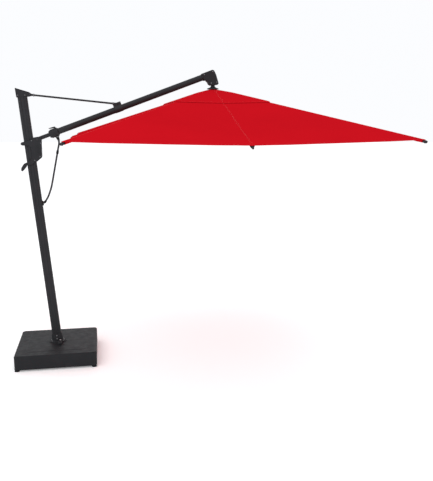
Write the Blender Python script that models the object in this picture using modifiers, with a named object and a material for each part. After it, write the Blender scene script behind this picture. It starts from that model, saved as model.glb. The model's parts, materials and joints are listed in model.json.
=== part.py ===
"""Cantilever parasol: a leaning mast on a weighted base, a hung rectangular canopy.

Metres, +Z up.  +X runs along the boom, from the mast to the canopy.  The origin is the
middle of the whole object's box, on the ground.
"""

from math import asin, atan, atan2, cos, hypot, pi, radians, sin, sqrt, tan

import bmesh
import bpy
from mathutils import Matrix, Vector

GAP = 0.0003

# Canopy
CANOPY_DEPTH = 2.80
CANOPY_WIDTH = 3.50
HUB_REACH = 1.6284
PEAK_Z = 2.7075
TIP_DROPS = {"corner": 0.4615, "side": 0.4975, "end": 0.4615}
CLOTH = 0.0015
CLOTH_SAG = 0.004
HEM_SCALLOP = 0.014
FLAP_SHARE = 0.31
FLAP_RISE = 0.010
NECK_HOLE = 0.030
APEX_DROP = 0.004

# Ribs, stretchers and runner
RIB_HEIGHT = 0.020
RIB_WIDTH = 0.014
RIB_WALL = 0.0015
RIB_TIP = 0.010
RIB_CLEAR = 0.0030
HINGE_RADIUS = 0.060
STRETCHER_DROP = 0.019
STRETCHER_THICK = 0.012
RUNNER_DROP = 0.27
FOLD_DROP = 1.00

# Base
BASE_SIDE = 0.79
BASE_TOP = 0.1595
SKIRT_Z = 0.018
BASE_CORNER = 0.030
BORDER = 0.110
BORDER_FALL = 0.003
SHELL = 0.004
TRAY_Z = 0.022
TRAY_THICK = 0.006
SLAB_SIDE = 0.350
SLAB_THICK = 0.092
SLAB_CUT = 0.075
FOOT_OUT = 0.369
FOOT_RADIUS = 0.0255

# Mast
MAST_LEAN = radians(5.116)
MAST_LENGTH = 2.4665
MAST_SECTION = (0.090, 0.066, 0.020)
MAST_WALL = 0.003
STRUT_PIN = (0.0727, 2.4829)
CORD_GLAND_Z = 1.4352

# Carriage, arm and boom
ARM_PIN = (0.0840, 2.0599)
BOOM_PITCH = radians(20.29)
ARM_RADIUS = 0.019
ARM_LENGTH = 0.46
COLLAR = (0.122, 0.212)
COLLAR_RADIUS = 0.042
BOOM_RADIUS = 0.030
BOOM_WALL = 0.0025
BOOM_ENDS = (0.165, 1.800)
BRACKET_PIN = (0.8397, 0.050)
STRUT_RADIUS = 0.009
ROLLER_PLACE = (-0.0612, 2.0290)
ROLLER_RADIUS = 0.0155
LEVER_PIN = (-0.0565, 1.8330)

# Lift cord, as points on the boom plane measured from the middle of the base
CORD_RADIUS = 0.009
CORD_EXIT = 0.184
CORD_SPLICE = 6
CORD_ROUTE = (
    (0.0915, 2.2313),
    (0.0965, 2.2175),
    (0.1005, 2.2020),
    (0.1015, 2.1860),
    (0.0995, 2.1660),
    (0.0935, 2.1400),
    (0.0830, 2.0920),
    (0.0710, 2.0350),
    (0.0545, 1.9570),
    (0.0400, 1.8890),
    (0.0210, 1.8000),
    (0.0090, 1.7500),
    (-0.0040, 1.7120),
    (-0.0160, 1.6800),
    (-0.0295, 1.6500),
    (-0.0440, 1.6265),
    (-0.0580, 1.6070),
    (-0.0706, 1.5942),
)

MAST_X = -(HUB_REACH + CANOPY_DEPTH / 2 + RIB_TIP - BASE_SIDE / 2) / 2
MAST_FOOT = Vector((MAST_X, 0.0, BASE_TOP))
HALF_DEPTH = CANOPY_DEPTH / 2
HALF_WIDTH = CANOPY_WIDTH / 2


# ---------------------------------------------------------------- scene


def clear_scene():
    """Remove every object and the collections left empty."""
    for item in list(bpy.data.objects):
        bpy.data.objects.remove(item, do_unlink=True)
    for group in list(bpy.data.collections):
        bpy.data.collections.remove(group)


def new_collection(name):
    """Make a collection and link it to the scene."""
    group = bpy.data.collections.new(name)
    bpy.context.scene.collection.children.link(group)
    return group


def paint(name, colour, roughness, metallic=0.0):
    """Make a plain Principled material."""
    material = bpy.data.materials.new(name)
    material.use_nodes = True
    shader = material.node_tree.nodes["Principled BSDF"]
    shader.inputs["Base Color"].default_value = (*colour, 1.0)
    shader.inputs["Roughness"].default_value = roughness
    shader.inputs["Metallic"].default_value = metallic
    material.diffuse_color = (*colour, 1.0)
    return material


def coated_metal(name):
    """Charcoal powder coat on an aluminium or steel piece."""
    return paint(name, (0.042, 0.043, 0.047), 0.45, 0.3)


def moulded_plastic(name):
    """Dark moulded plastic."""
    return paint(name, (0.034, 0.035, 0.038), 0.55)


def black_rubber(name):
    """Black rubber."""
    return paint(name, (0.012, 0.012, 0.012), 0.8)


def bright_steel(name):
    """Plain steel of pins."""
    return paint(name, (0.45, 0.45, 0.46), 0.3, 1.0)


def concrete(name):
    """Grey cast paving slab."""
    return paint(name, (0.30, 0.29, 0.27), 0.9)


def red_cloth(name):
    """Red canopy cloth."""
    return paint(name, (0.60, 0.012, 0.020), 0.85)


def frame_empty(name, parent, location=(0, 0, 0), rotation=(0, 0, 0)):
    """Add an empty that carries one moving piece's frame."""
    empty = bpy.data.objects.new(name, None)
    PARTS.objects.link(empty)
    empty.parent = parent
    empty.location = location
    empty.rotation_euler = rotation
    empty.empty_display_size = 0.05
    return empty


def add_mesh(name, bm, material, parent, group=None):
    """Turn a bmesh into an object under a frame."""
    bmesh.ops.recalc_face_normals(bm, faces=bm.faces)
    if bm.calc_volume(signed=True) < 0:
        bmesh.ops.reverse_faces(bm, faces=bm.faces)
    for face in bm.faces:
        face.smooth = True
    mesh = bpy.data.meshes.new(name)
    bm.to_mesh(mesh)
    bm.free()
    item = bpy.data.objects.new(name, mesh)
    (group or PARTS).objects.link(item)
    item.parent = parent
    if material is not None:
        mesh.materials.append(material)
    return item


def cut(target, name, bm):
    """Take a closed shape, given in the target's own frame, out of the target."""
    cutter = add_mesh(name, bm, None, target.parent, CUTTERS)
    cutter.hide_render = True
    cutter.display_type = "WIRE"
    modifier = target.modifiers.new(name, "BOOLEAN")
    modifier.operation = "DIFFERENCE"
    modifier.solver = "EXACT"
    modifier.object = cutter
    return cutter


def bevel(target, width, segments=2, angle=40):
    """Round the sharp edges of a mesh object."""
    modifier = target.modifiers.new("edges", "BEVEL")
    modifier.width = width
    modifier.segments = segments
    modifier.limit_method = "ANGLE"
    modifier.angle_limit = radians(angle)
    modifier.harden_normals = False


# ---------------------------------------------------------------- shapes


def loft(rings, closed=False):
    """Skin a run of equal rings; a closed run joins its last ring to its first."""
    bm = bmesh.new()
    loops = [[bm.verts.new(point) for point in ring] for ring in rings]
    pairs = list(zip(loops, loops[1:]))
    if closed:
        pairs.append((loops[-1], loops[0]))
    for near, far in pairs:
        count = len(near)
        for i in range(count):
            j = (i + 1) % count
            bm.faces.new((near[i], near[j], far[j], far[i]))
    if not closed:
        bm.faces.new(list(reversed(loops[0])))
        bm.faces.new(loops[-1])
    return bm


def circle(radius, count=24, turn=0.0):
    """Points of a flat circle."""
    return [
        (radius * cos(turn + 2 * pi * i / count), radius * sin(turn + 2 * pi * i / count))
        for i in range(count)
    ]


def rounded_rectangle(width, depth, radius, steps=3):
    """Points of a rectangle with round corners, anticlockwise from +X."""
    points = []
    for k, (sx, sy) in enumerate(((1, 1), (-1, 1), (-1, -1), (1, -1))):
        centre = (sx * (width / 2 - radius), sy * (depth / 2 - radius))
        for i in range(steps + 1):
            angle = pi / 2 * (k + i / steps)
            points.append((centre[0] + radius * cos(angle), centre[1] + radius * sin(angle)))
    return points


def level(points, z, shift=(0.0, 0.0)):
    """Lay flat points on a level plane."""
    return [(x + shift[0], y + shift[1], z) for x, y in points]


def upright(points, y):
    """Stand (x, z) points on a plane of constant y."""
    return [(x, y, z) for x, z in points]


def across(points, x):
    """Stand (y, z) points on a plane of constant x."""
    return [(x, y, z) for y, z in points]


def revolve(profile, count=24, closed=False):
    """Turn (radius, z) points about Z."""
    return loft([level(circle(radius, count), z) for radius, z in profile], closed)


def revolve_x(profile, count=24, closed=False):
    """Turn (radius, x) points about X."""
    return loft([across(circle(radius, count), x) for radius, x in profile], closed)


def plate(outline, half_width):
    """Extrude an (x, z) outline to both sides of y = 0."""
    return loft([upright(outline, -half_width), upright(outline, half_width)])


def block(low, high):
    """A box between two corners."""
    flat = [(low[0], low[1]), (high[0], low[1]), (high[0], high[1]), (low[0], high[1])]
    return loft([level(flat, low[2]), level(flat, high[2])])


def bar_y(x, z, radius, half_length, count=16):
    """A round bar along Y through (x, z)."""
    points = [(x + px, z + pz) for px, pz in circle(radius, count)]
    return plate(points, half_length)


def tube_along(points, radius, last_up=None, count=12):
    """A round tube along a line in the boom plane; last_up is the slope of its far end face."""
    rings = []
    side = Vector((0.0, 1.0, 0.0))
    for i, point in enumerate(points):
        ahead = points[min(i + 1, len(points) - 1)]
        behind = points[max(i - 1, 0)]
        run = (ahead - behind).normalized()
        up = run.cross(side)
        if last_up is not None and i == len(points) - 1:
            up = last_up / last_up.dot(up)
        rings.append([tuple(point + side * u + up * v) for u, v in circle(radius, count)])
    return loft(rings)


# ---------------------------------------------------------------- base


def square_ring(half, z, corner=BASE_CORNER):
    """A square ring with round corners, for the base."""
    return level(rounded_rectangle(2 * half, 2 * half, corner, 5), z)


def build_base():
    """Tray, four slabs, cover shell, spindle housing and levelling feet."""
    frame = frame_empty("base_frame_axis", None, (MAST_X, 0, 0))
    tray_half = BASE_SIDE / 2 - 0.008
    tray = loft([square_ring(tray_half, TRAY_Z, 0.026), square_ring(tray_half, TRAY_Z + TRAY_THICK, 0.026)])
    add_mesh("base_tray", tray, coated_metal("tray_steel"), frame)

    floor = TRAY_Z + TRAY_THICK
    housing = revolve(
        [(0.055, floor + GAP), (0.055, BASE_TOP - SHELL), (0.0306, BASE_TOP - SHELL), (0.0306, floor + GAP)],
        closed=True,
    )
    add_mesh("spindle_housing", housing, coated_metal("housing_steel"), frame)

    slab_low = floor + GAP
    near = 0.003
    far = near + SLAB_SIDE
    outline = [
        (near + SLAB_CUT, near),
        (far, near),
        (far, far),
        (near, far),
        (near, near + SLAB_CUT),
    ]
    for number, (sx, sy) in enumerate(((1, 1), (-1, 1), (-1, -1), (1, -1)), 1):
        points = [(sx * x, sy * y) for x, y in outline]
        slab = loft([level(points, slab_low), level(points, slab_low + SLAB_THICK)])
        item = add_mesh(f"ballast_slab_{number}", slab, concrete(f"slab_{number}_concrete"), frame)
        bevel(item, 0.004, 1)

    build_cover(frame)
    for number, (sx, sy) in enumerate(((1, 1), (-1, 1), (-1, -1), (1, -1)), 1):
        axis = frame_empty(f"levelling_foot_{number}_axis", frame, (sx * FOOT_OUT, sy * FOOT_OUT, 0))
        foot = revolve(
            [
                (FOOT_RADIUS - 0.002, 0.0),
                (FOOT_RADIUS, 0.002),
                (FOOT_RADIUS, 0.008),
                (FOOT_RADIUS - 0.006, 0.012),
                (0.008, 0.013),
                (0.008, TRAY_Z - GAP),
            ],
            20,
        )
        add_mesh(f"levelling_foot_{number}", foot, black_rubber(f"foot_{number}_rubber"), axis)


def build_cover(frame):
    """Moulded cover: upright skirt, sloping border, flat middle with the spindle hole."""
    half = BASE_SIDE / 2
    flat_half = half - BORDER
    edge_z = BASE_TOP - BORDER_FALL
    outer = [
        square_ring(half, SKIRT_Z),
        square_ring(half, edge_z - 0.012),
        square_ring(half - 0.003, edge_z - 0.004),
        square_ring(half - 0.009, edge_z),
        square_ring(flat_half + 0.006, BASE_TOP - 0.002),
        square_ring(flat_half, BASE_TOP),
    ]
    inner = [
        square_ring(flat_half, BASE_TOP - SHELL),
        square_ring(half - 0.018, edge_z - SHELL),
        square_ring(half - SHELL, edge_z - 0.024),
        square_ring(half - SHELL, SKIRT_Z),
    ]
    hole = circle(0.062, len(outer[0]))
    hole_rings = [level(hole, BASE_TOP), level(hole, BASE_TOP - SHELL)]
    add_mesh("base_cover", loft(outer + hole_rings + inner, closed=True), moulded_plastic("cover_plastic"), frame)


# ---------------------------------------------------------------- mast


def mast_profile(grow=0.0, grooved=True):
    """The mast's section, with two shallow grooves down each broad side."""
    width, depth, radius = MAST_SECTION
    plain = rounded_rectangle(width + 2 * grow, depth + 2 * grow, radius + grow, 3)
    if not grooved:
        return plain
    half = depth / 2 + grow
    groove = []
    for x in (0.014, -0.014):
        groove += [(x + 0.004, half), (x + 0.002, half - 0.002), (x - 0.002, half - 0.002), (x - 0.004, half)]
    other = [(-x, -y) for x, y in groove]
    return plain[:4] + groove + plain[4:12] + other + plain[12:]


def build_mast(frame):
    """Foot, tube, top cap with its clevis, strut pin and cord gland."""
    add_mesh("mast_foot", mast_foot_shape(), coated_metal("foot_metal"), frame_empty("mast_foot_axis", None, MAST_FOOT))

    low = 0.0195
    rings = [
        level(mast_profile(), low),
        level(mast_profile(), MAST_LENGTH),
        level(mast_profile(-MAST_WALL), MAST_LENGTH),
        level(mast_profile(-MAST_WALL), low),
    ]
    add_mesh("mast_tube", loft(rings, closed=True), coated_metal("mast_aluminium"), frame)

    pin_x, pin_z = STRUT_PIN
    bottom = MAST_LENGTH + GAP
    round_end = [
        (pin_x + 0.0150 * cos(angle), pin_z + 0.0150 * sin(angle))
        for angle in (radians(a) for a in (-60, -30, 0, 30, 60))
    ]
    outline = [(-0.053, bottom), (0.062, bottom)] + round_end + [(0.066, 2.5085), (-0.055, 2.5570)]
    cap = add_mesh("mast_cap", plate(outline, 0.036), moulded_plastic("cap_plastic"), frame)
    bevel(cap, 0.003, 1)
    cut(cap, "cap_slot_cutter", block((0.0535, -0.0068, 2.44), (0.12, 0.0068, 2.53)))
    cut(cap, "cap_pin_cutter", bar_y(pin_x, pin_z, 0.0045, 0.05))
    pin = loft([upright(rod_points(pin_x, pin_z, 0.0042), y) for y in (-0.0365, 0.0365)])
    add_mesh("strut_rear_pin", pin, bright_steel("rear_pin_steel"), frame)

    half = MAST_SECTION[0] / 2
    gland = revolve_x([(0.019, half + GAP), (0.019, half + 0.005), (0.0135, half + 0.012)], 20)
    item = add_mesh("mast_cord_gland", gland, black_rubber("mast_gland_rubber"), frame)
    for vertex in item.data.vertices:
        vertex.co.z = CORD_GLAND_Z + 1.3 * vertex.co.z


def rod_points(x, z, radius, count=12):
    """Points of a circle about (x, z)."""
    return [(x + px, z + pz) for px, pz in circle(radius, count)]


def mast_foot_shape():
    """Spindle stub, round flange and a leaning socket for the mast."""
    count = len(mast_profile(0, grooved=False))

    def sloped(grow, z):
        """The socket's section at a height, shifted with the lean."""
        shift = (-z * tan(MAST_LEAN), 0.0)
        return level(mast_profile(grow, grooved=False), z, shift)

    rings = [
        level(circle(0.030, count), -0.120),
        level(circle(0.030, count), 0.0005),
        level(circle(0.074, count), 0.0005),
        level(circle(0.074, count), 0.009),
        level(circle(0.066, count), 0.013),
        sloped(0.010, 0.018),
        sloped(0.006, 0.085),
        sloped(0.0008, 0.085),
        sloped(0.0008, 0.014),
    ]
    return loft(rings)


# ---------------------------------------------------------------- carriage


def build_carriage(frame):
    """Body that straddles the mast, guide roller, arm pin and release lever."""
    outline = [
        (0.030, 1.8420),
        (0.048, 1.8440),
        (0.0985, 1.8780),
        (0.1040, 1.8920),
        (0.1200, 2.0500),
        (0.1190, 2.0720),
        (0.1080, 2.0830),
        (0.0440, 2.0790),
        (0.0200, 2.0560),
        (-0.0560, 2.0460),
        (-0.0720, 2.0400),
        (-0.0770, 2.0290),
        (-0.0720, 2.0180),
        (-0.0560, 2.0120),
        (0.0000, 2.0080),
        (0.0140, 1.9900),
        (0.0120, 1.8860),
        (-0.0280, 1.8540),
        (-0.0500, 1.8460),
        (-0.0640, 1.8400),
        (-0.0670, 1.8290),
        (-0.0580, 1.8220),
        (-0.0330, 1.8180),
        (0.0040, 1.8240),
    ]
    body = add_mesh("carriage_body", plate(outline, 0.045), moulded_plastic("carriage_plastic"), frame)
    bevel(body, 0.0025, 1, 50)
    width, depth, _ = MAST_SECTION
    mast_hole = block((-0.12, -depth / 2 - 0.0008, 1.75), (width / 2 + 0.0008, depth / 2 + 0.0008, 2.15))
    cut(body, "carriage_mast_cutter", mast_hole)
    pin_x, pin_z = ARM_PIN
    cut(body, "carriage_arm_cutter", block((pin_x - 0.0300, -0.0215, pin_z - 0.0420), (0.20, 0.0215, 2.15)))
    cut(body, "carriage_pin_cutter", bar_y(pin_x, pin_z, 0.0063, 0.06))
    pin = loft([upright(rod_points(pin_x, pin_z, 0.0060), y) for y in (-0.0455, 0.0455)])
    add_mesh("arm_pin", pin, bright_steel("arm_pin_steel"), frame)

    axis = frame_empty("guide_roller_axis", frame, (ROLLER_PLACE[0], 0, ROLLER_PLACE[1]))
    roller = loft(
        [
            upright(circle(0.006, 20), -0.0335),
            upright(circle(0.006, 20), -0.031),
            upright(circle(ROLLER_RADIUS - 0.002, 20), -0.031),
            upright(circle(ROLLER_RADIUS, 20), -0.028),
            upright(circle(ROLLER_RADIUS, 20), 0.028),
            upright(circle(ROLLER_RADIUS - 0.002, 20), 0.031),
            upright(circle(0.006, 20), 0.031),
            upright(circle(0.006, 20), 0.0335),
        ]
    )
    add_mesh("guide_roller", roller, black_rubber("roller_rubber"), axis)

    axis = frame_empty("release_lever_axis", frame, (LEVER_PIN[0], 0, LEVER_PIN[1]))
    grip = [
        (0.0080, -0.0060),
        (0.0060, 0.0090),
        (-0.0060, 0.0110),
        (-0.0220, 0.0000),
        (-0.0470, -0.0340),
        (-0.0520, -0.0520),
        (-0.0480, -0.0640),
        (-0.0400, -0.0660),
        (-0.0280, -0.0560),
        (-0.0040, -0.0330),
        (0.0040, -0.0180),
    ]
    lever = add_mesh("release_lever", plate(grip, 0.0335), moulded_plastic("lever_plastic"), axis)
    bevel(lever, 0.003, 1)


# ---------------------------------------------------------------- arm and strut


def build_arm(frame):
    """Arm tube, side-tilt collar, strut bracket with its pin, and cord gland."""
    eye = rounded_rectangle(0.036, 0.036, 0.012, 3)
    count = len(eye)
    round_section = circle(ARM_RADIUS, count, pi / count)
    inner = circle(ARM_RADIUS - 0.003, count, pi / count)
    rings = [
        across(eye, -0.020),
        across(eye, 0.020),
        across(round_section, 0.034),
        across(round_section, ARM_LENGTH),
        across(inner, ARM_LENGTH),
        across(inner, 0.040),
    ]
    arm = add_mesh("arm_tube", loft(rings), coated_metal("arm_aluminium"), frame)
    cut(arm, "arm_pin_cutter", bar_y(0.0, 0.0, 0.0064, 0.05))

    start, end = COLLAR
    collar = revolve_x(
        [
            (ARM_RADIUS + 0.0004, start),
            (0.030, start),
            (0.0330, start + 0.006),
            (COLLAR_RADIUS, start + 0.020),
            (COLLAR_RADIUS, end - 0.004),
            (COLLAR_RADIUS - 0.004, end),
            (BOOM_RADIUS + 0.0005, end),
            (BOOM_RADIUS + 0.0005, BOOM_ENDS[0] - 0.0005),
            (ARM_RADIUS + 0.0004, BOOM_ENDS[0] - 0.0005),
        ],
        28,
        closed=True,
    )
    add_mesh("tilt_collar", collar, moulded_plastic("collar_plastic"), frame)

    build_bracket(frame)

    gland = revolve(
        [(0.0125, -COLLAR_RADIUS - 0.012), (0.019, -COLLAR_RADIUS - 0.006), (0.019, -COLLAR_RADIUS - 0.0005)], 20
    )
    item = add_mesh("boom_cord_gland", gland, black_rubber("boom_gland_rubber"), frame)
    for vertex in item.data.vertices:
        vertex.co.x += CORD_EXIT


def build_bracket(frame):
    """Sleeve round the boom, with two ears for the strut."""
    pin_x, pin_z = BRACKET_PIN
    sleeve = 0.0335
    start = asin(0.016 / sleeve)
    arc = [
        (sleeve * sin(start + (2 * pi - 2 * start) * i / 26), sleeve * cos(start + (2 * pi - 2 * start) * i / 26))
        for i in range(27)
    ]
    outline = [(0.016, pin_z + 0.008), (0.016, sleeve)] + arc[1:-1]
    outline += [(-0.016, sleeve), (-0.016, pin_z + 0.008), (-0.011, pin_z + 0.013), (0.011, pin_z + 0.013)]
    shape = loft([across(outline, 0.800), across(outline, 0.880)])
    bracket = add_mesh("strut_bracket", shape, coated_metal("bracket_metal"), frame)
    bore = revolve_x([(BOOM_RADIUS + 0.0005, 0.78), (BOOM_RADIUS + 0.0005, 0.90)], 32)
    cut(bracket, "bracket_bore_cutter", bore)
    cut(bracket, "bracket_slot_cutter", block((0.76, -0.0068, 0.0338), (0.864, 0.0068, 0.08)))
    cut(bracket, "bracket_pin_cutter", bar_y(pin_x, pin_z, 0.0042, 0.05))
    pin = loft([upright(rod_points(pin_x, pin_z, 0.0039), y) for y in (-0.0165, 0.0165)])
    add_mesh("strut_front_pin", pin, bright_steel("front_pin_steel"), frame)


def build_strut(mast_frame, reach, pitch):
    """The upper tie rod, flattened to an eye at both ends."""
    axis = frame_empty("strut_axis", mast_frame, (STRUT_PIN[0], 0, STRUT_PIN[1]), (0, -pitch, 0))

    def flat(half_height):
        """A flat section of the eye."""
        return rounded_rectangle(0.012, 2 * half_height, 0.003, 3)

    rod = circle(STRUT_RADIUS, 16, pi / 16)
    rings = [
        across(flat(0.006), -0.0120),
        across(flat(0.0115), -0.0060),
        across(flat(0.0125), 0.0),
        across(flat(0.0115), 0.010),
        across(flat(0.0100), 0.022),
        across(rod, 0.046),
        across(rod, reach - 0.066),
        across(flat(0.0095), reach - 0.044),
        across(flat(0.0115), reach - 0.010),
        across(flat(0.0125), reach),
        across(flat(0.0115), reach + 0.006),
        across(flat(0.006), reach + 0.012),
    ]
    strut = add_mesh("strut_rod", loft(rings), coated_metal("strut_steel"), axis)
    cut(strut, "strut_rear_cutter", bar_y(0.0, 0.0, 0.0048, 0.03))
    cut(strut, "strut_front_cutter", bar_y(reach, 0.0, 0.0079, 0.03, 20))


# ---------------------------------------------------------------- boom and hub


def build_boom(frame):
    """Boom tube and the elbow that turns down to the canopy."""
    low, high = BOOM_ENDS
    tube = revolve_x(
        [(BOOM_RADIUS, low), (BOOM_RADIUS, high), (BOOM_RADIUS - BOOM_WALL, high), (BOOM_RADIUS - BOOM_WALL, low)],
        28,
        closed=True,
    )
    boom = add_mesh("boom_tube", tube, coated_metal("boom_aluminium"), frame)
    boom.location.x = -COLLAR[1]

    outline = [
        (1.732, -0.0365),
        (1.746, -0.0365),
        (1.758, -0.0560),
        (1.764, -0.0880),
        (1.776, -0.1005),
        (1.844, -0.1180),
        (1.860, -0.1120),
        (1.866, -0.0200),
        (1.860, 0.0265),
        (1.846, 0.0365),
        (1.732, 0.0365),
    ]
    elbow = add_mesh("elbow", plate(outline, 0.0365), moulded_plastic("elbow_plastic"), frame)
    elbow.location.x = -COLLAR[1]
    bevel(elbow, 0.005, 2, 50)
    bore = revolve_x([(BOOM_RADIUS + 0.0004, 1.70), (BOOM_RADIUS + 0.0004, high + 0.0005)], 28)
    cut(elbow, "elbow_boom_cutter", bore).location.x = -COLLAR[1]
    neck = Matrix.Translation(hub_place()) @ Matrix.Rotation(BOOM_PITCH, 4, "Y")
    socket = revolve([(0.0212, -0.10), (0.0212, 0.0755)], 24)
    bmesh.ops.transform(socket, matrix=neck, verts=socket.verts)
    cut(elbow, "elbow_neck_cutter", socket).location.x = -COLLAR[1]


def hub_place():
    """The canopy's peak in the arm's frame."""
    pin = arm_pin_place()
    offset = Vector((MAST_X + HUB_REACH, 0.0, PEAK_Z)) - pin
    return Matrix.Rotation(BOOM_PITCH, 3, "Y") @ offset


def arm_pin_place():
    """The arm pin in the world."""
    lean = Matrix.Rotation(-MAST_LEAN, 3, "Y")
    return MAST_FOOT + lean @ Vector((ARM_PIN[0], 0.0, ARM_PIN[1]))


def slotted_disc(name, material, parent, bore, rim, low, high):
    """A turned disc with one radial slot for each rib."""
    rings = [(bore, low), (rim, low), (rim, high), (bore, high)]
    disc = add_mesh(name, revolve(rings, 32, closed=True), material, parent)
    for number, (azimuth, _, _) in enumerate(rib_plan(), 1):
        slot = block((0.042, -0.0082, low - 0.02), (rim + 0.03, 0.0082, high + 0.02))
        bmesh.ops.rotate(slot, matrix=Matrix.Rotation(azimuth, 3, "Z"), verts=slot.verts)
        cut(disc, f"{name}_slot_{number}_cutter", slot)
    return disc


def build_hub(frame):
    """Neck, slotted crown, docking spigot and the cap over the canopy's peak."""
    spigot = revolve(
        [
            (0.0150, -0.300),
            (0.0160, -0.296),
            (0.0160, -0.056),
            (0.0205, -0.050),
            (0.0205, 0.075),
        ],
        24,
    )
    add_mesh("hub_post", spigot, coated_metal("post_metal"), frame)
    slotted_disc("canopy_crown", moulded_plastic("crown_plastic"), frame, 0.0208, 0.072, -0.048, -0.0245)
    cap = revolve(
        [(0.0208, 0.0030), (0.0560, -0.0030), (0.0600, -0.0010), (0.0560, 0.0060), (0.0300, 0.0150), (0.0208, 0.0165)],
        28,
        closed=True,
    )
    add_mesh("canopy_cap", cap, moulded_plastic("peak_cap_plastic"), frame)


# ---------------------------------------------------------------- canopy


def rib_plan():
    """Azimuth, horizontal reach and tip drop of the eight ribs, anticlockwise from +X."""
    corner = atan2(HALF_WIDTH, HALF_DEPTH)
    reach = hypot(HALF_WIDTH, HALF_DEPTH)
    quarter = [
        (0.0, HALF_DEPTH, TIP_DROPS["end"]),
        (corner, reach, TIP_DROPS["corner"]),
        (pi / 2, HALF_WIDTH, TIP_DROPS["side"]),
        (pi - corner, reach, TIP_DROPS["corner"]),
    ]
    return quarter + [(azimuth + pi, far, drop) for azimuth, far, drop in quarter]


def rib_slope(far, drop):
    """A rib's fall below level."""
    return atan((drop - APEX_DROP) / (far - NECK_HOLE))


def rib_hinge(far, drop):
    """Height of a rib's hinge, under the cloth it carries."""
    slope = rib_slope(far, drop)
    cloth = -APEX_DROP - (HINGE_RADIUS - NECK_HOLE) * tan(slope)
    return cloth - (CLOTH + RIB_CLEAR + RIB_HEIGHT / 2) / cos(slope)


def linkage(far, drop):
    """Sizes of one rib's stretcher: its place on the rib, its length and its fall."""
    slope = rib_slope(far, drop)
    guess = 0.5
    drop_to_runner = RUNNER_DROP + rib_hinge(far, drop) + 0.030
    for _ in range(20):
        tilt = slope + atan(STRETCHER_DROP / guess)
        span = (FOLD_DROP**2 - drop_to_runner**2) / (2 * (FOLD_DROP - drop_to_runner * sin(tilt)))
        guess = sqrt(span**2 - STRETCHER_DROP**2)
    length = FOLD_DROP - span
    fall = asin((drop_to_runner - span * sin(tilt)) / length)
    return guess, length, fall


def cloth_point(start, end, share, across_share):
    """A point of the cloth between two neighbouring ribs."""
    here = rib_point(start, share)
    there = rib_point(end, share)
    bow = 4 * across_share * (1 - across_share)
    point = here.lerp(there, across_share)
    point.z -= CLOTH_SAG * bow * share
    pull = 1 - HEM_SCALLOP * bow * share**6 / 1.4
    return Vector((point.x * pull, point.y * pull, point.z))


def rib_point(rib, share):
    """A point of the cloth over a rib."""
    azimuth, far, drop = rib
    out = NECK_HOLE + (far - NECK_HOLE) * share
    fall = APEX_DROP + (drop - APEX_DROP) * share
    return Vector((out * cos(azimuth), out * sin(azimuth), -fall))


def cloth_shares():
    """Steps out from the hub, with a double step at the vent flap's edge."""
    flap = [(share, FLAP_RISE if share > 0.05 else 0.0) for share in (0.0, 0.06, 0.18, FLAP_SHARE)]
    return flap + [(FLAP_SHARE + 0.0008, 0.0)] + [(share, 0.0) for share in (0.45, 0.60, 0.75, 0.88, 0.96, 1.0)]


def build_cloth(number, ribs, axis, to_rib, material):
    """One closed panel of the canopy, half way to each neighbouring rib, in its rib's frame."""
    own = ribs[number]
    last = ribs[number - 1]
    following = ribs[(number + 1) % len(ribs)]
    top = []
    for share, rise in cloth_shares():
        row = [cloth_point(last, own, share, 0.5), cloth_point(last, own, share, 0.75)]
        row += [cloth_point(own, following, share, w) for w in (0.0, 0.25, 0.5)]
        row[0] += (row[1] - row[0]).normalized() * GAP
        row[4] += (row[3] - row[4]).normalized() * GAP
        top.append([point + Vector((0, 0, rise)) for point in row])
    bottom = [
        [Vector((point.x, point.y, point.z - rise - CLOTH)) for point in row]
        for row, (_, rise) in zip(top, cloth_shares())
    ]
    rings = [[to_rib @ point for point in upper + under[::-1]] for upper, under in zip(top, bottom)]
    add_mesh(f"canopy_panel_{number + 1}", loft(rings), material, axis)


def build_canopy(hub_frame):
    """Ribs and stretchers on their hinges, and the cloth panel each rib carries."""
    ribs = rib_plan()
    for number, (azimuth, far, drop) in enumerate(ribs):
        slope = rib_slope(far, drop)
        place = Vector((HINGE_RADIUS * cos(azimuth), HINGE_RADIUS * sin(azimuth), rib_hinge(far, drop)))
        turn = Matrix.Rotation(azimuth, 3, "Z") @ Matrix.Rotation(slope, 3, "Y")
        axis = frame_empty(f"rib_{number + 1}_axis", hub_frame, place, turn.to_euler())
        add_mesh(f"rib_{number + 1}", rib_shape(far, slope), coated_metal(f"rib_{number + 1}_metal"), axis)
        build_stretcher(number, far, drop, slope, axis)
        to_rib = (Matrix.Translation(place) @ turn.to_4x4()).inverted()
        build_cloth(number, ribs, axis, to_rib, red_cloth(f"panel_{number + 1}_cloth"))


def rib_shape(far, slope):
    """A rectangular tube, open at the hub and closed at its tip."""
    length = (far - HINGE_RADIUS) / cos(slope) + RIB_TIP
    outer = rounded_rectangle(RIB_WIDTH, RIB_HEIGHT, 0.003, 1)
    inner = rounded_rectangle(RIB_WIDTH - 2 * RIB_WALL, RIB_HEIGHT - 2 * RIB_WALL, 0.0015, 1)
    tip = rounded_rectangle(0.010, 0.012, 0.003, 1)
    rings = [
        across(inner, length - 0.030),
        across(inner, -0.010),
        across(outer, -0.010),
        across(outer, length - 0.006),
        across(tip, length),
    ]
    return loft(rings)


def build_stretcher(number, far, drop, slope, rib_axis):
    """A thin bar from under the rib back to the runner."""
    place, length, fall = linkage(far, drop)
    axis = frame_empty(
        f"stretcher_{number + 1}_axis",
        rib_axis,
        (place, 0, -STRETCHER_DROP),
        (0, pi - fall - slope, 0),
    )
    section = rounded_rectangle(0.010, STRETCHER_THICK, 0.003, 1)
    end = rounded_rectangle(0.010, 0.006, 0.0025, 1)
    rings = [
        across(end, -0.0080),
        across(section, -0.0040),
        across(section, length + 0.0030),
        across(end, length + 0.0070),
    ]
    add_mesh(f"stretcher_{number + 1}", loft(rings), coated_metal(f"stretcher_{number + 1}_metal"), axis)


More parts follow.
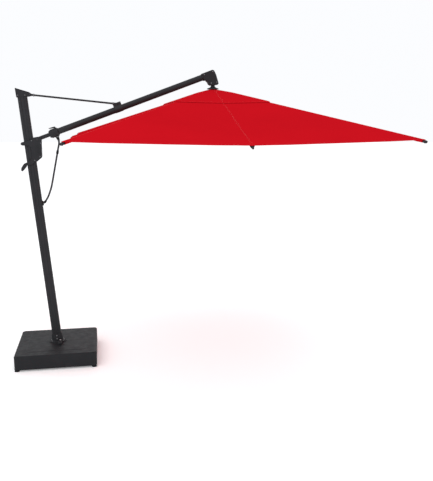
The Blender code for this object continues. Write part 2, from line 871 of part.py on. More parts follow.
def build_runner(hub_frame):
    """The lower hub that the stretchers hang from."""
    axis = frame_empty("runner_axis", hub_frame, (0, 0, -RUNNER_DROP - 0.030))
    slotted_disc("runner", moulded_plastic("runner_plastic"), axis, 0.0168, 0.074, -0.016, 0.016)


# ---------------------------------------------------------------- controls and cord


def build_twist_lever(arm_frame):
    """Lever that frees the collar for side tilt."""
    axis = frame_empty("collar_lever_axis", arm_frame, (0.196, 0, COLLAR_RADIUS + 0.0075))
    outline = [
        (0.0040, -0.0055),
        (0.0068, 0.0000),
        (0.0040, 0.0055),
        (-0.020, 0.0085),
        (-0.046, 0.0090),
        (-0.058, 0.0080),
        (-0.060, 0.0040),
        (-0.040, -0.0010),
        (-0.012, -0.0068),
    ]
    lever = add_mesh("collar_lever", plate(outline, 0.011), moulded_plastic("collar_lever_plastic"), axis)
    bevel(lever, 0.002, 1)


def build_pedal(mast_foot_axis):
    """Foot pedal that frees the mast to turn on its spindle."""
    axis = frame_empty("foot_pedal_axis", mast_foot_axis, (0.030, -0.060, 0.0250))
    outline = [
        (0.010, -0.0090),
        (0.012, 0.0060),
        (0.000, 0.0100),
        (-0.030, 0.0100),
        (-0.066, 0.0020),
        (-0.078, -0.0060),
        (-0.078, -0.0100),
        (-0.040, -0.0060),
        (-0.012, -0.0040),
    ]
    points = [across([(y, z) for y, z in outline], x) for x in (-0.019, 0.019)]
    pedal = add_mesh("foot_pedal", loft(points), coated_metal("pedal_metal"), axis)
    bevel(pedal, 0.002, 1)


def route_points():
    """The cord's centre line in the world."""
    return [Vector((MAST_X + x, 0.0, z)) for x, z in CORD_ROUTE]


def smooth_line(points, per_span):
    """Read a list of points through a smooth curve."""
    line = []
    for i in range(len(points) - 1):
        before = points[max(i - 1, 0)]
        start = points[i]
        end = points[i + 1]
        after = points[min(i + 2, len(points) - 1)]
        for k in range(per_span):
            t = k / per_span
            line.append(
                0.5
                * (
                    2 * start
                    + (end - before) * t
                    + (2 * before - 5 * start + 4 * end - after) * t**2
                    + (3 * start - before - 3 * end + after) * t**3
                )
            )
    return line + [points[-1]]


def build_cord(arm_frame, carriage_frame):
    """The lift cord from the collar to the mast, in two lengths that meet at a splice."""
    points = route_points()
    upper = smooth_line(points[: CORD_SPLICE + 1], 2)
    lower = smooth_line(points[CORD_SPLICE:], 2)
    lower[0] = lower[0] + (lower[1] - lower[0]).normalized() * GAP
    to_arm = (Matrix.Translation(arm_pin_place()) @ Matrix.Rotation(-BOOM_PITCH, 4, "Y")).inverted()
    to_mast = (Matrix.Translation(MAST_FOOT) @ Matrix.Rotation(-MAST_LEAN, 4, "Y")).inverted()
    upper_tube = tube_along([to_arm @ point for point in upper], CORD_RADIUS)
    lower_tube = tube_along([to_mast @ point for point in lower], CORD_RADIUS, Vector((0.0, 0.0, 1.0)))
    add_mesh("lift_cord_upper", upper_tube, black_rubber("upper_cord_sheath"), arm_frame)
    add_mesh("lift_cord_lower", lower_tube, black_rubber("lower_cord_sheath"), carriage_frame)


# ---------------------------------------------------------------- assembly


clear_scene()
PARTS = new_collection("cantilever_parasol")
CUTTERS = new_collection("cutters")


def assemble():
    """Build every sub-part in its own frame, from the ground up."""
    build_base()
    mast_frame = frame_empty("mast_axis", None, MAST_FOOT, (0, -MAST_LEAN, 0))
    build_mast(mast_frame)
    build_pedal(bpy.data.objects["mast_foot_axis"])
    carriage_frame = frame_empty("carriage_axis", mast_frame)
    build_carriage(carriage_frame)

    arm_rotation = (0, MAST_LEAN - BOOM_PITCH, 0)
    arm_frame = frame_empty("arm_axis", carriage_frame, (ARM_PIN[0], 0, ARM_PIN[1]), arm_rotation)
    build_arm(arm_frame)
    build_twist_lever(arm_frame)

    bracket = Matrix.Rotation(-BOOM_PITCH, 3, "Y") @ Vector((BRACKET_PIN[0], 0, BRACKET_PIN[1]))
    bracket += arm_pin_place()
    rear = MAST_FOOT + Matrix.Rotation(-MAST_LEAN, 3, "Y") @ Vector((STRUT_PIN[0], 0, STRUT_PIN[1]))
    span = bracket - rear
    build_strut(mast_frame, span.length, atan2(span.z, span.x) - MAST_LEAN)

    boom_frame = frame_empty("boom_axis", arm_frame, (COLLAR[1], 0, 0))
    build_boom(boom_frame)
    place = hub_place() - Vector((COLLAR[1], 0, 0))
    hub_frame = frame_empty("hub_axis", boom_frame, place, (0, BOOM_PITCH, 0))
    build_hub(hub_frame)
    build_canopy(hub_frame)
    build_runner(hub_frame)
    build_cord(arm_frame, carriage_frame)


assemble()
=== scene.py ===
"""Looks of a cantilever parasol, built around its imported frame.

Metres, +Z up, +X from the mast along the boom to the canopy.  Each sub-assembly is a class
that holds its sizes, builds its own pieces and dresses the frame's parts with its finishes.
"""

import sys
import json
import logging
from dataclasses import dataclass, field
from enum import Enum
from math import atan2, cos, hypot, pi, radians, sin

import bmesh
import bpy
from mathutils import Matrix, Vector


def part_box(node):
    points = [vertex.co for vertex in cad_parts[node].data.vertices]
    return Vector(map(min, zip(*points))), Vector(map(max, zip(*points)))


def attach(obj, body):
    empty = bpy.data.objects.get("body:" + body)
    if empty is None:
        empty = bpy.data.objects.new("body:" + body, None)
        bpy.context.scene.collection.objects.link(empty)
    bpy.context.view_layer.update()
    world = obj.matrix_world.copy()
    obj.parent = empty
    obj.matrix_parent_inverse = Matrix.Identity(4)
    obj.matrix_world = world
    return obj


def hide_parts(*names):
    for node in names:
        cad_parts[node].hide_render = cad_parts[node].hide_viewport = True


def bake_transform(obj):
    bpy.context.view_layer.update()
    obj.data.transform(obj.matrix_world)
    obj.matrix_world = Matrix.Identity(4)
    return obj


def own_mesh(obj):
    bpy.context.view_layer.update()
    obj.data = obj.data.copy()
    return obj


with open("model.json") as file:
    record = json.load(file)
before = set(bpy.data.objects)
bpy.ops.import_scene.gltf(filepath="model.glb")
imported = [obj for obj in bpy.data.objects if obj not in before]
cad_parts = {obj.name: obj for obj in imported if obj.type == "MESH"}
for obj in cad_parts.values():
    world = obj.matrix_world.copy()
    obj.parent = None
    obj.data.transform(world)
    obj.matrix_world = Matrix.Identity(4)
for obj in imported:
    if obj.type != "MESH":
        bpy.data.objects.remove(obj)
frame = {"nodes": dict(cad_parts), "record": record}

LOG = logging.getLogger("parasol")
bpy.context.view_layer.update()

Ring = list[Vector]
Colour = tuple[float, float, float]


# ---------------------------------------------------------------- names


class Body(str, Enum):
    """Bodies of the frame that pieces ride on."""

    BASE = "base"
    MAST = "mast"
    PEDAL = "foot_pedal"
    CARRIAGE = "carriage"
    ROLLER = "guide_roller"
    RELEASE = "release_lever"
    ARM = "arm"
    STRUT = "strut"
    COLLAR_LEVER = "collar_lever"
    BOOM = "boom"
    RUNNER = "runner"


class RibKind(Enum):
    """Where a rib points: at an end, a corner or a side of the canopy."""

    END = "end"
    CORNER = "corner"
    SIDE = "side"


class Drive(Enum):
    """Recess in the head of a screw."""

    HEXAGON = "hexagon"
    PLAIN = "plain"


# ---------------------------------------------------------------- shader building


class Shader:
    """A material under construction: one Principled surface and the nodes that feed it."""

    def __init__(self, name: str, roughness: float, metallic: float = 0.0) -> None:
        """Start a material.

        Args:
            name: the material's name.
            roughness: the surface's roughness where nothing feeds it.
            metallic: 1 for bare metal, 0 for anything else.
        """
        self.material = bpy.data.materials.new(name)
        self.material.use_nodes = True
        self.tree = self.material.node_tree
        self.surface = self.tree.nodes["Principled BSDF"]
        self.surface.inputs["Roughness"].default_value = roughness
        self.surface.inputs["Metallic"].default_value = metallic
        self.coordinates = self.tree.nodes.new("ShaderNodeTexCoord")

    def node(self, kind: str, **inputs: float) -> bpy.types.Node:
        """Add a node and set its inputs by name, with spaces written as underscores."""
        made = self.tree.nodes.new(kind)
        for key, value in inputs.items():
            made.inputs[key.replace("_", " ")].default_value = value
        return made

    def link(self, source: bpy.types.NodeSocket, target: bpy.types.NodeSocket) -> None:
        """Join two sockets."""
        self.tree.links.new(source, target)

    def place(self, source: str = "Object", turn: tuple[float, float, float] = (0, 0, 0),
              scale: tuple[float, float, float] = (1, 1, 1)) -> bpy.types.NodeSocket:
        """Give texture coordinates, turned and scaled.

        Args:
            source: "Object" for metres in the frame, "UV" for the piece's own layout.
            turn: angles about X, Y and Z.
            scale: scale along each axis after the turn.

        Returns:
            The socket that carries the coordinates.
        """
        turned = self.node("ShaderNodeMapping")
        turned.inputs["Rotation"].default_value = turn
        self.link(self.coordinates.outputs[source], turned.inputs["Vector"])
        scaled = self.node("ShaderNodeMapping")
        scaled.inputs["Scale"].default_value = scale
        self.link(turned.outputs["Vector"], scaled.inputs["Vector"])
        return scaled.outputs["Vector"]

    def noise(self, where: bpy.types.NodeSocket, scale: float, detail: float = 3.0) -> bpy.types.NodeSocket:
        """Add a noise texture and give its value."""
        made = self.node("ShaderNodeTexNoise", Scale=scale, Detail=detail)
        self.link(where, made.inputs["Vector"])
        return made.outputs["Fac"]

    def cells(self, where: bpy.types.NodeSocket, scale: float) -> bpy.types.NodeSocket:
        """Add a cell texture and give the distance to the nearest cell's middle."""
        made = self.node("ShaderNodeTexVoronoi", Scale=scale)
        self.link(where, made.inputs["Vector"])
        return made.outputs["Distance"]

    def wave(self, where: bpy.types.NodeSocket, scale: float, axis: str) -> bpy.types.NodeSocket:
        """Add parallel bands across one axis and give their value."""
        made = self.node("ShaderNodeTexWave", Scale=scale)
        made.bands_direction = axis
        self.link(where, made.inputs["Vector"])
        return made.outputs["Fac"]

    def maths(self, operation: str, first: bpy.types.NodeSocket,
              second: bpy.types.NodeSocket | float) -> bpy.types.NodeSocket:
        """Join two values with an arithmetic operation and give the result."""
        made = self.tree.nodes.new("ShaderNodeMath")
        made.operation = operation
        self.link(first, made.inputs[0])
        if isinstance(second, float):
            made.inputs[1].default_value = second
        else:
            self.link(second, made.inputs[1])
        return made.outputs["Value"]

    def shades(self, value: bpy.types.NodeSocket, stops: list[tuple[float, Colour]]) -> None:
        """Feed the surface's colour from a value through a colour ramp."""
        ramp = self.tree.nodes.new("ShaderNodeValToRGB")
        elements = ramp.color_ramp.elements
        while len(elements) < len(stops):
            elements.new(0.5)
        for element, (position, colour) in zip(elements, stops):
            element.position = position
            element.color = (*colour, 1.0)
        self.link(value, ramp.inputs["Fac"])
        self.link(ramp.outputs["Color"], self.surface.inputs["Base Color"])

    def dullness(self, value: bpy.types.NodeSocket, low: float, high: float) -> None:
        """Feed the surface's roughness from a value, spread from low to high."""
        spread = self.tree.nodes.new("ShaderNodeMapRange")
        spread.inputs["From Min"].default_value = 0.3
        spread.inputs["From Max"].default_value = 0.7
        spread.inputs["To Min"].default_value = low
        spread.inputs["To Max"].default_value = high
        self.link(value, spread.inputs["Value"])
        self.link(spread.outputs["Result"], self.surface.inputs["Roughness"])

    def relief(self, height: bpy.types.NodeSocket, strength: float, depth: float) -> None:
        """Feed the surface's normal from a height."""
        bump = self.node("ShaderNodeBump", Strength=strength, Distance=depth)
        self.link(height, bump.inputs["Height"])
        self.link(bump.outputs["Normal"], self.surface.inputs["Normal"])


def tint(colour: Colour, share: float) -> Colour:
    """Make a colour lighter or darker by a share of itself."""
    return tuple(min(1.0, channel * share) for channel in colour)


# ---------------------------------------------------------------- finishes


@dataclass(frozen=True)
class PowderCoat:
    """Baked-on paint: fine orange-peel grain, a little dust and slightly uneven sheen."""

    colour: Colour
    roughness: float = 0.46
    grain: float = 0.0011

    def make(self, name: str) -> bpy.types.Material:
        """Build the material."""
        shader = Shader(name, self.roughness)
        shader.surface.inputs["Specular IOR Level"].default_value = 0.12
        where = shader.place()
        drift = shader.noise(where, 7.0, 4.0)
        shader.shades(drift, [(0.30, tint(self.colour, 0.90)), (0.72, tint(self.colour, 1.12))])
        shader.dullness(shader.noise(where, 34.0, 5.0), self.roughness - 0.07, self.roughness + 0.09)
        shader.relief(shader.noise(where, 1.0 / self.grain, 2.0), 0.16, 0.0004)
        return shader.material


@dataclass(frozen=True)
class DrawnAluminium:
    """Powder-coated extrusion: the die's faint lengthwise lines show through the paint."""

    colour: Colour
    run: tuple[float, float, float]
    roughness: float = 0.43

    def make(self, name: str) -> bpy.types.Material:
        """Build the material."""
        shader = Shader(name, self.roughness)
        shader.surface.inputs["Specular IOR Level"].default_value = 0.10
        pitch = atan2(self.run[2], hypot(self.run[0], self.run[1]))
        heading = atan2(self.run[1], self.run[0])
        flat = shader.place(turn=(0, 0, -heading))
        level = shader.node("ShaderNodeMapping")
        level.inputs["Rotation"].default_value = (0, pitch, 0)
        shader.link(flat, level.inputs["Vector"])
        drawn = shader.node("ShaderNodeMapping")
        drawn.inputs["Scale"].default_value = (1.5, 420.0, 420.0)
        shader.link(level.outputs["Vector"], drawn.inputs["Vector"])
        lines = shader.noise(drawn.outputs["Vector"], 1.0, 3.0)
        grain = shader.noise(shader.place(), 850.0, 2.0)
        drift = shader.noise(shader.place(), 5.0, 4.0)
        shader.shades(drift, [(0.30, tint(self.colour, 0.92)), (0.70, tint(self.colour, 1.10))])
        shader.dullness(lines, self.roughness - 0.05, self.roughness + 0.07)
        both = shader.maths("ADD", shader.maths("MULTIPLY", lines, 0.7), shader.maths("MULTIPLY", grain, 0.5))
        shader.relief(both, 0.14, 0.0003)
        return shader.material


@dataclass(frozen=True)
class MouldedPlastic:
    """Moulded plastic: spark-eroded cell grain and soft cloudy variation."""

    colour: Colour
    roughness: float = 0.52
    grain: float = 0.0014
    depth: float = 0.25

    def make(self, name: str) -> bpy.types.Material:
        """Build the material."""
        shader = Shader(name, self.roughness)
        shader.surface.inputs["Specular IOR Level"].default_value = 0.10
        where = shader.place()
        cloud = shader.noise(where, 4.0, 5.0)
        stops = [(0.28, tint(self.colour, 0.90)), (0.55, self.colour), (0.78, tint(self.colour, 1.13))]
        shader.shades(cloud, stops)
        shader.dullness(shader.noise(where, 22.0, 4.0), self.roughness - 0.06, self.roughness + 0.08)
        shader.relief(shader.cells(where, 1.0 / self.grain), self.depth, 0.0004)
        return shader.material


@dataclass(frozen=True)
class Rubber:
    """Black rubber: dull, with dust in its fine pores."""

    colour: Colour = (0.013, 0.013, 0.014)
    roughness: float = 0.74

    def make(self, name: str) -> bpy.types.Material:
        """Build the material."""
        shader = Shader(name, self.roughness)
        shader.surface.inputs["Specular IOR Level"].default_value = 0.10
        where = shader.place()
        dust = shader.noise(where, 60.0, 6.0)
        shader.shades(dust, [(0.40, self.colour), (0.80, tint(self.colour, 1.9))])
        shader.dullness(dust, self.roughness - 0.06, self.roughness + 0.10)
        shader.relief(shader.noise(where, 1500.0, 3.0), 0.25, 0.0003)
        return shader.material


@dataclass(frozen=True)
class BareSteel:
    """Zinc-bright steel: turned lines, light handling marks."""

    colour: Colour = (0.50, 0.50, 0.51)
    roughness: float = 0.34

    def make(self, name: str) -> bpy.types.Material:
        """Build the material."""
        shader = Shader(name, self.roughness, metallic=1.0)
        where = shader.place()
        marks = shader.noise(where, 130.0, 6.0)
        shader.shades(marks, [(0.35, tint(self.colour, 0.80)), (0.65, tint(self.colour, 1.10))])
        shader.dullness(marks, self.roughness - 0.08, self.roughness + 0.14)
        turned = shader.noise(shader.place(scale=(120.0, 2400.0, 120.0)), 1.0, 2.0)
        shader.relief(turned, 0.10, 0.0002)
        return shader.material


@dataclass(frozen=True)
class CastConcrete:
    """Cast slab: cement skin with sand, pits and damp patches."""

    colour: Colour = (0.30, 0.29, 0.27)
    roughness: float = 0.90

    def make(self, name: str) -> bpy.types.Material:
        """Build the material."""
        shader = Shader(name, self.roughness)
        where = shader.place()
        patches = shader.noise(where, 9.0, 8.0)
        sand = shader.noise(where, 420.0, 3.0)
        mix = shader.maths("ADD", shader.maths("MULTIPLY", patches, 0.7), shader.maths("MULTIPLY", sand, 0.3))
        stops = [(0.30, tint(self.colour, 0.70)), (0.52, self.colour), (0.72, tint(self.colour, 1.25))]
        shader.shades(mix, stops)
        pits = shader.cells(where, 160.0)
        shader.relief(shader.maths("ADD", pits, shader.maths("MULTIPLY", sand, 0.5)), 0.5, 0.0012)
        return shader.material


@dataclass(frozen=True)
class CanopyCloth:
    """Solution-dyed canopy cloth: plain weave, slubs in the yarn, faint fading."""

    colour: Colour = (0.460, 0.0052, 0.0105)
    yarn: float = 0.0016
    roughness: float = 0.82

    def make(self, name: str) -> bpy.types.Material:
        """Build the material."""
        shader = Shader(name, self.roughness)
        shader.surface.inputs["Specular IOR Level"].default_value = 0.0
        where = shader.place("UV")
        pitch = 1.0 / (self.yarn * 20.0) * pi
        warp = shader.wave(where, pitch, "X")
        weft = shader.wave(where, pitch, "Y")
        weave = shader.maths("MULTIPLY", warp, weft)
        slub = shader.noise(shader.place("UV", scale=(30.0, 420.0, 1.0)), 1.0, 3.0)
        fade = shader.noise(shader.place("Object"), 1.6, 3.0)
        crossings = shader.maths("MULTIPLY", weave, 0.30)
        tone = shader.maths("ADD", crossings, shader.maths("MULTIPLY", slub, 0.30))
        tone = shader.maths("ADD", tone, shader.maths("MULTIPLY", fade, 0.55))
        stops = [(0.20, tint(self.colour, 0.90)), (0.50, self.colour), (0.85, tint(self.colour, 1.08))]
        shader.shades(tone, stops)
        height = shader.maths("ADD", weave, shader.maths("MULTIPLY", slub, 0.5))
        shader.relief(height, 0.30, 0.0005)
        return shader.material


@dataclass(frozen=True)
class SewingThread:
    """Twisted polyester thread, a shade lighter than the cloth."""

    colour: Colour = (0.66, 0.030, 0.040)

    def make(self, name: str) -> bpy.types.Material:
        """Build the material."""
        shader = Shader(name, 0.55)
        shader.surface.inputs["Sheen Weight"].default_value = 0.2
        where = shader.place()
        twist = shader.noise(where, 900.0, 2.0)
        shader.shades(twist, [(0.35, tint(self.colour, 0.75)), (0.65, tint(self.colour, 1.10))])
        shader.relief(twist, 0.4, 0.0004)
        return shader.material


@dataclass(frozen=True)
class BraidedSheath:
    """Braided cord sheath: two sets of strands that cross round the cord."""

    colour: Colour = (0.020, 0.020, 0.022)
    strands: float = 8.0

    def make(self, name: str) -> bpy.types.Material:
        """Build the material."""
        shader = Shader(name, 0.60)
        shader.surface.inputs["Specular IOR Level"].default_value = 0.35
        leans = (
            shader.wave(shader.place("UV", turn=(0, 0, radians(45))), self.strands * 1.6, "X"),
            shader.wave(shader.place("UV", turn=(0, 0, radians(-45))), self.strands * 1.6, "X"),
        )
        braid = shader.maths("MAXIMUM", *leans)
        fuzz = shader.noise(shader.place(), 700.0, 3.0)
        tone = shader.maths("ADD", shader.maths("MULTIPLY", braid, 0.6), shader.maths("MULTIPLY", fuzz, 0.4))
        shader.shades(tone, [(0.25, tint(self.colour, 0.55)), (0.80, tint(self.colour, 1.5))])
        shader.relief(shader.maths("ADD", braid, shader.maths("MULTIPLY", fuzz, 0.3)), 0.55, 0.0009)
        return shader.material


Finish = (
    PowderCoat | DrawnAluminium | MouldedPlastic | Rubber | BareSteel | CastConcrete
    | CanopyCloth | SewingThread | BraidedSheath
)

CHARCOAL: Colour = (0.024, 0.0245, 0.027)
COVER_GREY: Colour = (0.017, 0.018, 0.020)
FITTING_GREY: Colour = (0.023, 0.0235, 0.026)
PIN_BLACK = BareSteel((0.055, 0.056, 0.060), 0.48)
DARK_STEEL = BareSteel((0.20, 0.20, 0.21), 0.45)
GREY_STEEL = BareSteel((0.30, 0.30, 0.31), 0.40)


class Palette:
    """Materials made so far, one for each finish."""

    made: dict[Finish, bpy.types.Material] = {}

    @classmethod
    def get(cls, finish: Finish) -> bpy.types.Material:
        """Give a finish's material, making it the first time."""
        if finish not in cls.made:
            name = f"{type(finish).__name__.lower()}_{len(cls.made) + 1}"
            cls.made[finish] = finish.make(name)
        return cls.made[finish]

    @classmethod
    def dress(cls, node: str, finish: Finish) -> None:
        """Give one of the frame's parts a finish.

        Args:
            node: the part's name in the frame.
            finish: what its surface is made of.
        """
        part = frame["nodes"][node]
        part.data.materials.clear()
        part.data.materials.append(cls.get(finish))
        LOG.info("dressed %s with %s", node, type(finish).__name__)


# ---------------------------------------------------------------- mesh building


def circle(radius: float, count: int = 24, turn: float = 0.0) -> list[tuple[float, float]]:
    """Points round a circle."""
    angles = [turn + 2 * pi * i / count for i in range(count)]
    return [(radius * cos(angle), radius * sin(angle)) for angle in angles]


def hexagon(flats: float, count: int = 24) -> list[tuple[float, float]]:
    """Points round a hexagon, as many as a circle it is joined to."""
    points = []
    for i in range(count):
        angle = 2 * pi * i / count
        within = (angle + pi / 6) % (pi / 3) - pi / 6
        reach = flats / 2 / cos(within)
        points.append((reach * cos(angle), reach * sin(angle)))
    return points


class Draft:
    """The mesh of one piece while it is being made."""

    def __init__(self) -> None:
        """Start empty."""
        self.bm = bmesh.new()

    def loft(self, rings: list[Ring], closed: bool = False, capped: bool = True) -> "Draft":
        """Skin a row of rings.

        Args:
            rings: rings with the same number of points each.
            closed: whether the last ring joins the first.
            capped: whether the two ends are filled, where the row isn't closed.

        Returns:
            This draft.
        """
        rows = [[self.bm.verts.new(point) for point in ring] for ring in rings]
        count = len(rows[0])
        pairs = list(zip(rows, rows[1:] + rows[:1])) if closed else list(zip(rows, rows[1:]))
        for low, high in pairs:
            for i in range(count):
                j = (i + 1) % count
                self.bm.faces.new((low[i], low[j], high[j], high[i]))
        if capped and not closed:
            self.bm.faces.new(list(reversed(rows[0])))
            self.bm.faces.new(rows[-1])
        return self

    def turned(self, profile: list[tuple[float, float]], count: int = 24, closed: bool = False) -> "Draft":
        """Turn a profile of (radius, height) about Z."""
        rings = [[Vector((x, y, z)) for x, y in circle(radius, count)] for radius, z in profile]
        return self.loft(rings, closed=closed)

    def bar(self, start: Vector, end: Vector, radius: float, count: int = 12) -> "Draft":
        """Add a round bar between two points."""
        run = (end - start).normalized()
        side = run.orthogonal().normalized()
        up = run.cross(side)
        rings = [[point + side * u + up * v for u, v in circle(radius, count)] for point in (start, end)]
        return self.loft(rings)

    def brick(self, low: Vector, high: Vector) -> "Draft":
        """Add an upright box."""
        corners = [(low.x, low.y), (high.x, low.y), (high.x, high.y), (low.x, high.y)]
        return self.loft([[Vector((x, y, z)) for x, y in corners] for z in (low.z, high.z)])

    def put(self, matrix: Matrix) -> "Draft":
        """Move everything made so far."""
        bmesh.ops.transform(self.bm, matrix=matrix, verts=self.bm.verts)
        return self

    def join(self, other: "Draft") -> "Draft":
        """Take another draft's mesh in."""
        spare = bpy.data.meshes.new("spare")
        other.bm.to_mesh(spare)
        other.bm.free()
        self.bm.from_mesh(spare)
        bpy.data.meshes.remove(spare)
        return self

    def piece(
        self, name: str, finish: Finish, body: str, rounded: float = 0.0, crease: float = 38.0
    ) -> bpy.types.Object:
        """Finish the mesh as a piece that rides on a body.

        Args:
            name: the piece's name.
            finish: what its surface is made of.
            body: the body it rides on.
            rounded: width of the rounding along its edges, or 0 for none.
            crease: angle in degrees past which an edge stays sharp.

        Returns:
            The piece.
        """
        bmesh.ops.recalc_face_normals(self.bm, faces=self.bm.faces)
        mesh = bpy.data.meshes.new(name)
        self.bm.to_mesh(mesh)
        self.bm.free()
        made = bpy.data.objects.new(name, mesh)
        bpy.context.scene.collection.objects.link(made)
        mesh.materials.append(Palette.get(finish))
        mesh.shade_smooth()
        mesh.set_sharp_from_angle(angle=radians(crease))
        if rounded:
            edge = made.modifiers.new("rounding", "BEVEL")
            edge.width = rounded
            edge.segments = 2
            edge.limit_method = "ANGLE"
            edge.harden_normals = True
        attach(made, body)
        LOG.info("made %s on %s", name, body)
        return made


def screw_head(radius: float, height: float, drive: Drive) -> Draft:
    """A domed screw head on the XY plane, facing +Z.

    Args:
        radius: the head's radius.
        height: the head's height.
        drive: the recess in it.

    Returns:
        The draft of the head.
    """
    def ring(points: list[tuple[float, float]], z: float) -> Ring:
        """Points of one ring at a height."""
        return [Vector((x, y, z)) for x, y in points]

    rings = [
        ring(circle(radius), 0.0),
        ring(circle(radius), height * 0.35),
        ring(circle(radius * 0.90), height * 0.70),
        ring(circle(radius * 0.68), height * 0.95),
        ring(circle(radius * 0.55), height),
    ]
    if drive is Drive.HEXAGON:
        rings.append(ring(hexagon(radius * 0.80), height))
        rings.append(ring(hexagon(radius * 0.80), height * 0.35))
    return Draft().loft(rings)


def facing(place: Vector, outward: Vector) -> Matrix:
    """A frame at a place whose Z points outward."""
    return Matrix.Translation(place) @ outward.to_track_quat("Z", "Y").to_matrix().to_4x4()


def smooth_line(points: list[Vector], per_span: int) -> list[Vector]:
    """Read a list of points through a smooth curve.

    Args:
        points: the points it passes through.
        per_span: how many steps to take between two of them.

    Returns:
        The curve's points, ends included.
    """
    line = []
    for i in range(len(points) - 1):
        before = points[max(i - 1, 0)]
        start = points[i]
        end = points[i + 1]
        after = points[min(i + 2, len(points) - 1)]
        for k in range(per_span):
            t = k / per_span
            line.append(
                0.5
                * (
                    2 * start
                    + (end - before) * t
                    + (2 * before - 5 * start + 4 * end - after) * t**2
                    + (3 * start - before - 3 * end + after) * t**3
                )
            )
    return line + [points[-1]]


def length_of(line: list[Vector]) -> float:
    """Length of a line of points."""
    return sum((b - a).length for a, b in zip(line, line[1:]))


# ---------------------------------------------------------------- frames


class Stand:
    """Places and directions of the joints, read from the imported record."""

    joints: dict[str, dict] = {joint["name"]: joint for joint in frame["record"]["behaviour"]["joints"]}

    @classmethod
    def pivot(cls, joint: str) -> Vector:
        """Where a hinge's axis passes."""
        return Vector(cls.joints[joint]["pos_m"])

    @classmethod
    def axis(cls, joint: str) -> Vector:
        """A joint's direction."""
        return Vector(cls.joints[joint]["axis"]).normalized()

    @classmethod
    def tilted(cls, origin: Vector, along: Vector, letter: str) -> Matrix:
        """A frame that keeps +Y level.

        Args:
            origin: the frame's origin.
            along: direction of one of its axes, in the boom's plane.
            letter: which axis that is, "X" or "Z".

        Returns:
            The frame's matrix.
        """
        side = Vector((0, 1, 0))
        if letter == "X":
            columns = (along, side, along.cross(side))
        else:
            columns = (side.cross(along), side, along)
        turn = Matrix(columns).transposed()
        return Matrix.Translation(origin) @ turn.to_4x4()

    @classmethod
    def mast(cls) -> Matrix:
        """The mast's frame: its origin at the foot, its Z up the lean."""
        return cls.tilted(cls.pivot("mast_rotation"), cls.axis("carriage_slide"), "Z")

    @classmethod
    def arm(cls) -> Matrix:
        """The arm's frame: its origin at the arm pin, its X up the boom."""
        return cls.tilted(cls.pivot("arm_pivot"), cls.axis("side_tilt"), "X")

    @classmethod
    def peak(cls) -> Vector:
        """The canopy's peak."""
        low, high = (Vector(corner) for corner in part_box("canopy_cap"))
        return Vector(((low.x + high.x) / 2, 0.0, low.z + 0.003))


# ---------------------------------------------------------------- base


@dataclass
class WeightedBase:
    """Square moulded cover over a steel tray, four slabs and the spindle housing."""

    trim_bore: float = 0.0775
    trim_rim: float = 0.0900
    trim_height: float = 0.0042
    nut_flats: float = 0.024
    nut_span: tuple[float, float] = (0.0138, 0.0205)
    cover: MouldedPlastic = MouldedPlastic(COVER_GREY, 0.50, 0.0022, 0.30)

    def dress(self) -> None:
        """Give the base's frame parts their finishes."""
        Palette.dress("base_cover", self.cover)
        Palette.dress("base_tray", PowderCoat(CHARCOAL))
        Palette.dress("spindle_housing", PowderCoat(CHARCOAL))
        for number in range(1, 5):
            Palette.dress(f"ballast_slab_{number}", CastConcrete())
            Palette.dress(f"levelling_foot_{number}", Rubber())

    def build_trim(self) -> None:
        """Raised ring that finishes the cover's hole round the mast's foot."""
        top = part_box("base_cover")[1][2]
        middle = Stand.pivot("mast_rotation")
        height = self.trim_height
        profile = [
            (self.trim_bore, -0.0005),
            (self.trim_rim, -0.0005),
            (self.trim_rim, height * 0.4),
            (self.trim_rim - 0.003, height),
            (self.trim_bore + 0.002, height),
            (self.trim_bore, height * 0.6),
        ]
        ring = Draft().turned(profile, 48, closed=True).put(Matrix.Translation((middle.x, middle.y, top)))
        ring.piece("cover_trim_ring", self.cover, Body.BASE.value)

    def build_nuts(self) -> None:
        """Hexagonal nut that sets the height of each levelling foot."""
        low, high = self.nut_span
        for number in range(1, 5):
            place = Stand.pivot(f"levelling_foot_{number}_turn")
            outer = hexagon(self.nut_flats)
            chamfer = hexagon(self.nut_flats - 0.003)
            rows = ((chamfer, low), (outer, low + 0.001), (outer, high - 0.001), (chamfer, high))
            rings = [[Vector((x, y, z)) for x, y in points] for points, z in rows]
            nut = Draft().loft(rings).put(Matrix.Translation((place.x, place.y, 0)))
            made = nut.piece(f"foot_nut_{number}", BareSteel(), f"levelling_foot_{number}")

    def build_rivets(self) -> None:
        """Round plugs along the skirt that hold the cover to the tray."""
        low, high = (Vector(corner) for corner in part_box("base_cover"))
        middle = (low + high) / 2
        reach = (high.x - low.x) / 2
        plugs = Draft()
        for side in (0, 1, 2, 3):
            outward = Matrix.Rotation(side * pi / 2, 3, "Z") @ Vector((1, 0, 0))
            along = outward.cross(Vector((0, 0, 1)))
            for offset in (-0.31, 0.31):
                place = Vector((middle.x, middle.y, low.z + 0.022)) + outward * reach + along * offset
                plugs.join(screw_head(0.0060, 0.0016, Drive.PLAIN).put(facing(place, outward)))
        plugs.piece("skirt_plugs", self.cover, Body.BASE.value)

    def build(self) -> None:
        """Build and dress the whole base."""
        self.dress()
        self.build_trim()
        self.build_nuts()
        self.build_rivets()


# ---------------------------------------------------------------- mast


